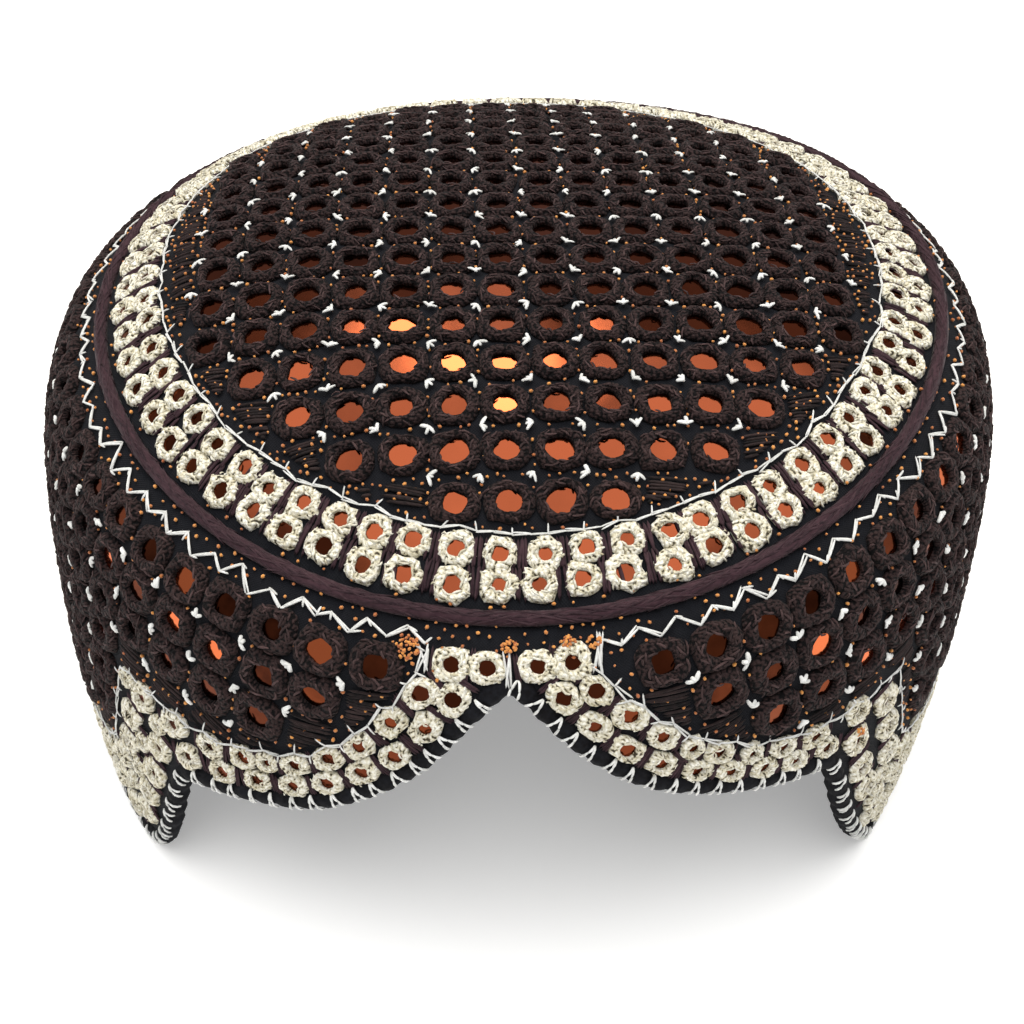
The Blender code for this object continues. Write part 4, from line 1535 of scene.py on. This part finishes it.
class CAP_OT_seam_stitches(CapOperator, bpy.types.Operator):
    """Build the white zigzag under the seam and the orange clusters"""
    bl_idname = "cap.seam_stitches"
    bl_label = "Seam stitches"

    def build(self):
        """Make the zigzag with its ticks, and the clusters of bright seed stitches."""
        chance = np.random.default_rng(23)
        azimuth = np.linspace(*ZIGZAG_ENDS, ZIGZAG_JOINTS)
        azimuth = azimuth + chance.normal(size=ZIGZAG_JOINTS) * 0.2
        down = np.where(np.arange(ZIGZAG_JOINTS) % 2, 3.2, 5.8)
        down = down + chance.normal(size=ZIGZAG_JOINTS) * 0.5
        lines = [stitched_line(wall, paired(azimuth, down), chance, tick=1.3, loose=0.12,
                               doubled=0.34, both_sides=True)]
        for first, last, number in LONE_STITCHES:
            loose = chance.normal(size=(2, number, 2)) * (0.3, 0.45)
            lines.append((first + loose[0], last + loose[1]))
        zigzag = add_stitches("seam_zigzag", wall, np.concatenate(lines, 1),
                              in_mm("white_thread") * 0.88, 0.15, SEAM_LEVEL, chance)
        settle(zigzag, "white thread")
        places, heights = [], []
        for azimuth, down, size in CLUSTERS:
            number = int(CLUSTER_SEEDS * size)
            angle = chance.random(number) * ANY_TURN
            reach = np.sqrt(chance.random(number)) * size
            middle = np.array(((azimuth, down),))
            offset = np.stack((reach * np.cos(angle), reach * np.sin(angle)), -1)
            places.append(middle + offset * per_millimetre(wall, middle))
            heights.append(SEAM_LEVEL + 0.9 * (1 - reach / size))
        places, heights = np.concatenate(places), np.concatenate(heights)
        clusters = add_seeds("orange_clusters", wall, places,
                             chance.uniform(0.5, 0.85, len(places)), heights, chance)
        settle(clusters, "orange seed floss")


def place_camera():
    """Put the camera at the photograph's angle and distance."""
    elevation, yaw, tilt = (math.radians(value) for value in CAMERA_ANGLES)
    back = Vector((math.sin(yaw) * math.cos(elevation), -math.cos(yaw) * math.cos(elevation),
                   math.sin(elevation)))
    right = Vector((math.cos(yaw), math.sin(yaw), 0.0))
    up = back.cross(right)
    across = math.cos(tilt) * right + math.sin(tilt) * up
    upwards = -math.sin(tilt) * right + math.cos(tilt) * up
    place = (Vector(CAMERA_TARGET) + back * CAMERA_DISTANCE) * MM
    camera = linked("camera", bpy.data.cameras.new("camera"))
    camera.data.sensor_width = 36.0
    camera.data.lens = CAMERA_LENS
    camera.data.clip_start = 0.01
    columns = Matrix((across, upwards, back)).transposed()
    camera.matrix_world = Matrix.Translation(place) @ columns.to_4x4()
    bpy.context.scene.camera = camera


def add_lamp(name, place, size, energy, colour):
    """A square soft light that faces the cap."""
    lamp = bpy.data.lights.new(name, "AREA")
    lamp.size = size
    lamp.energy = energy
    lamp.color = linear(colour)[:3]
    holder = linked(name, lamp)
    holder.location = place
    aim = Vector(LAMP_AIM) - Vector(place)
    holder.rotation_euler = aim.to_track_quat("-Z", "Y").to_euler()


class CAP_OT_studio(CapOperator, bpy.types.Operator):
    """Build the floor, the lights and the camera"""
    bl_idname = "cap.studio"
    bl_label = "Studio"

    def build(self):
        """Make a plain pale floor, soft light from above, and the camera."""
        bpy.ops.mesh.primitive_circle_add(vertices=96, radius=4.0, fill_type="NGON")
        floor = bpy.context.active_object
        floor.name = "studio_floor"
        # The floor glows by its own emission, painted light.
        floor.data.materials.append(finish_of("opal acrylic"))
        for lamp in LAMPS:
            add_lamp(*lamp)
        world = bpy.data.worlds.new("studio")
        bpy.context.scene.world = world
        world.use_nodes = True
        tree = world.node_tree
        direction = add(tree, "TexCoord").node.outputs["Generated"]
        height = add(tree, "SeparateXYZ", {0: direction}).node.outputs["Z"]
        ramp = add(tree, "ValToRGB", {"Fac": height})
        stops = ramp.node.color_ramp.elements
        while len(stops) < len(SKY):
            stops.new(0.5)
        for stop, (position, value) in zip(stops, SKY):
            stop.position = position
            stop.color = (value, value, value, 1.0)
        tree.links.new(ramp, tree.nodes["Background"].inputs["Color"])
        tree.nodes["Background"].inputs["Strength"].default_value = SKY_STRENGTH
        bpy.context.scene.view_settings.view_transform = "Standard"
        place_camera()


OPERATORS = (CAP_OT_cloth, CAP_OT_binding, CAP_OT_plait, CAP_OT_crown_field,
             CAP_OT_crown_border, CAP_OT_band_field, CAP_OT_band_border, CAP_OT_seam_stitches,
             CAP_OT_studio)


class CAP_PT_panel(bpy.types.Panel):
    """Sizes, colours and operators of the cap."""
    bl_idname = "CAP_PT_panel"
    bl_label = "Sindhi cap"
    bl_space_type = "VIEW_3D"
    bl_region_type = "UI"
    bl_category = "Cap"

    def draw(self, context):
        """List the settings and the operators."""
        for group in (context.scene.cap_sizes, context.scene.cap_colours):
            box = self.layout.box()
            for key in type(group).__annotations__:
                box.prop(group, key)
        for operator in OPERATORS:
            self.layout.operator(operator.bl_idname)


CLASSES = (CapSizes, CapColours, *OPERATORS, CAP_PT_panel)


def register():
    """Register the classes and hang the settings on the scene."""
    for item in CLASSES:
        bpy.utils.register_class(item)
    bpy.types.Scene.cap_sizes = bpy.props.PointerProperty(type=CapSizes)
    bpy.types.Scene.cap_colours = bpy.props.PointerProperty(type=CapColours)


def unregister():
    """Take the settings off the scene and unregister the classes."""
    del bpy.types.Scene.cap_colours
    del bpy.types.Scene.cap_sizes
    for item in reversed(CLASSES):
        bpy.utils.unregister_class(item)


def main():
    """Build the whole scene through the operators."""
    register()
    bpy.ops.cap.cloth()
    bpy.ops.cap.binding()
    bpy.ops.cap.plait()
    bpy.ops.cap.crown_field()
    bpy.ops.cap.crown_border()
    bpy.ops.cap.band_field()
    bpy.ops.cap.band_border()
    bpy.ops.cap.seam_stitches()
    bpy.ops.cap.studio()


if __name__ == "__main__":
    main()
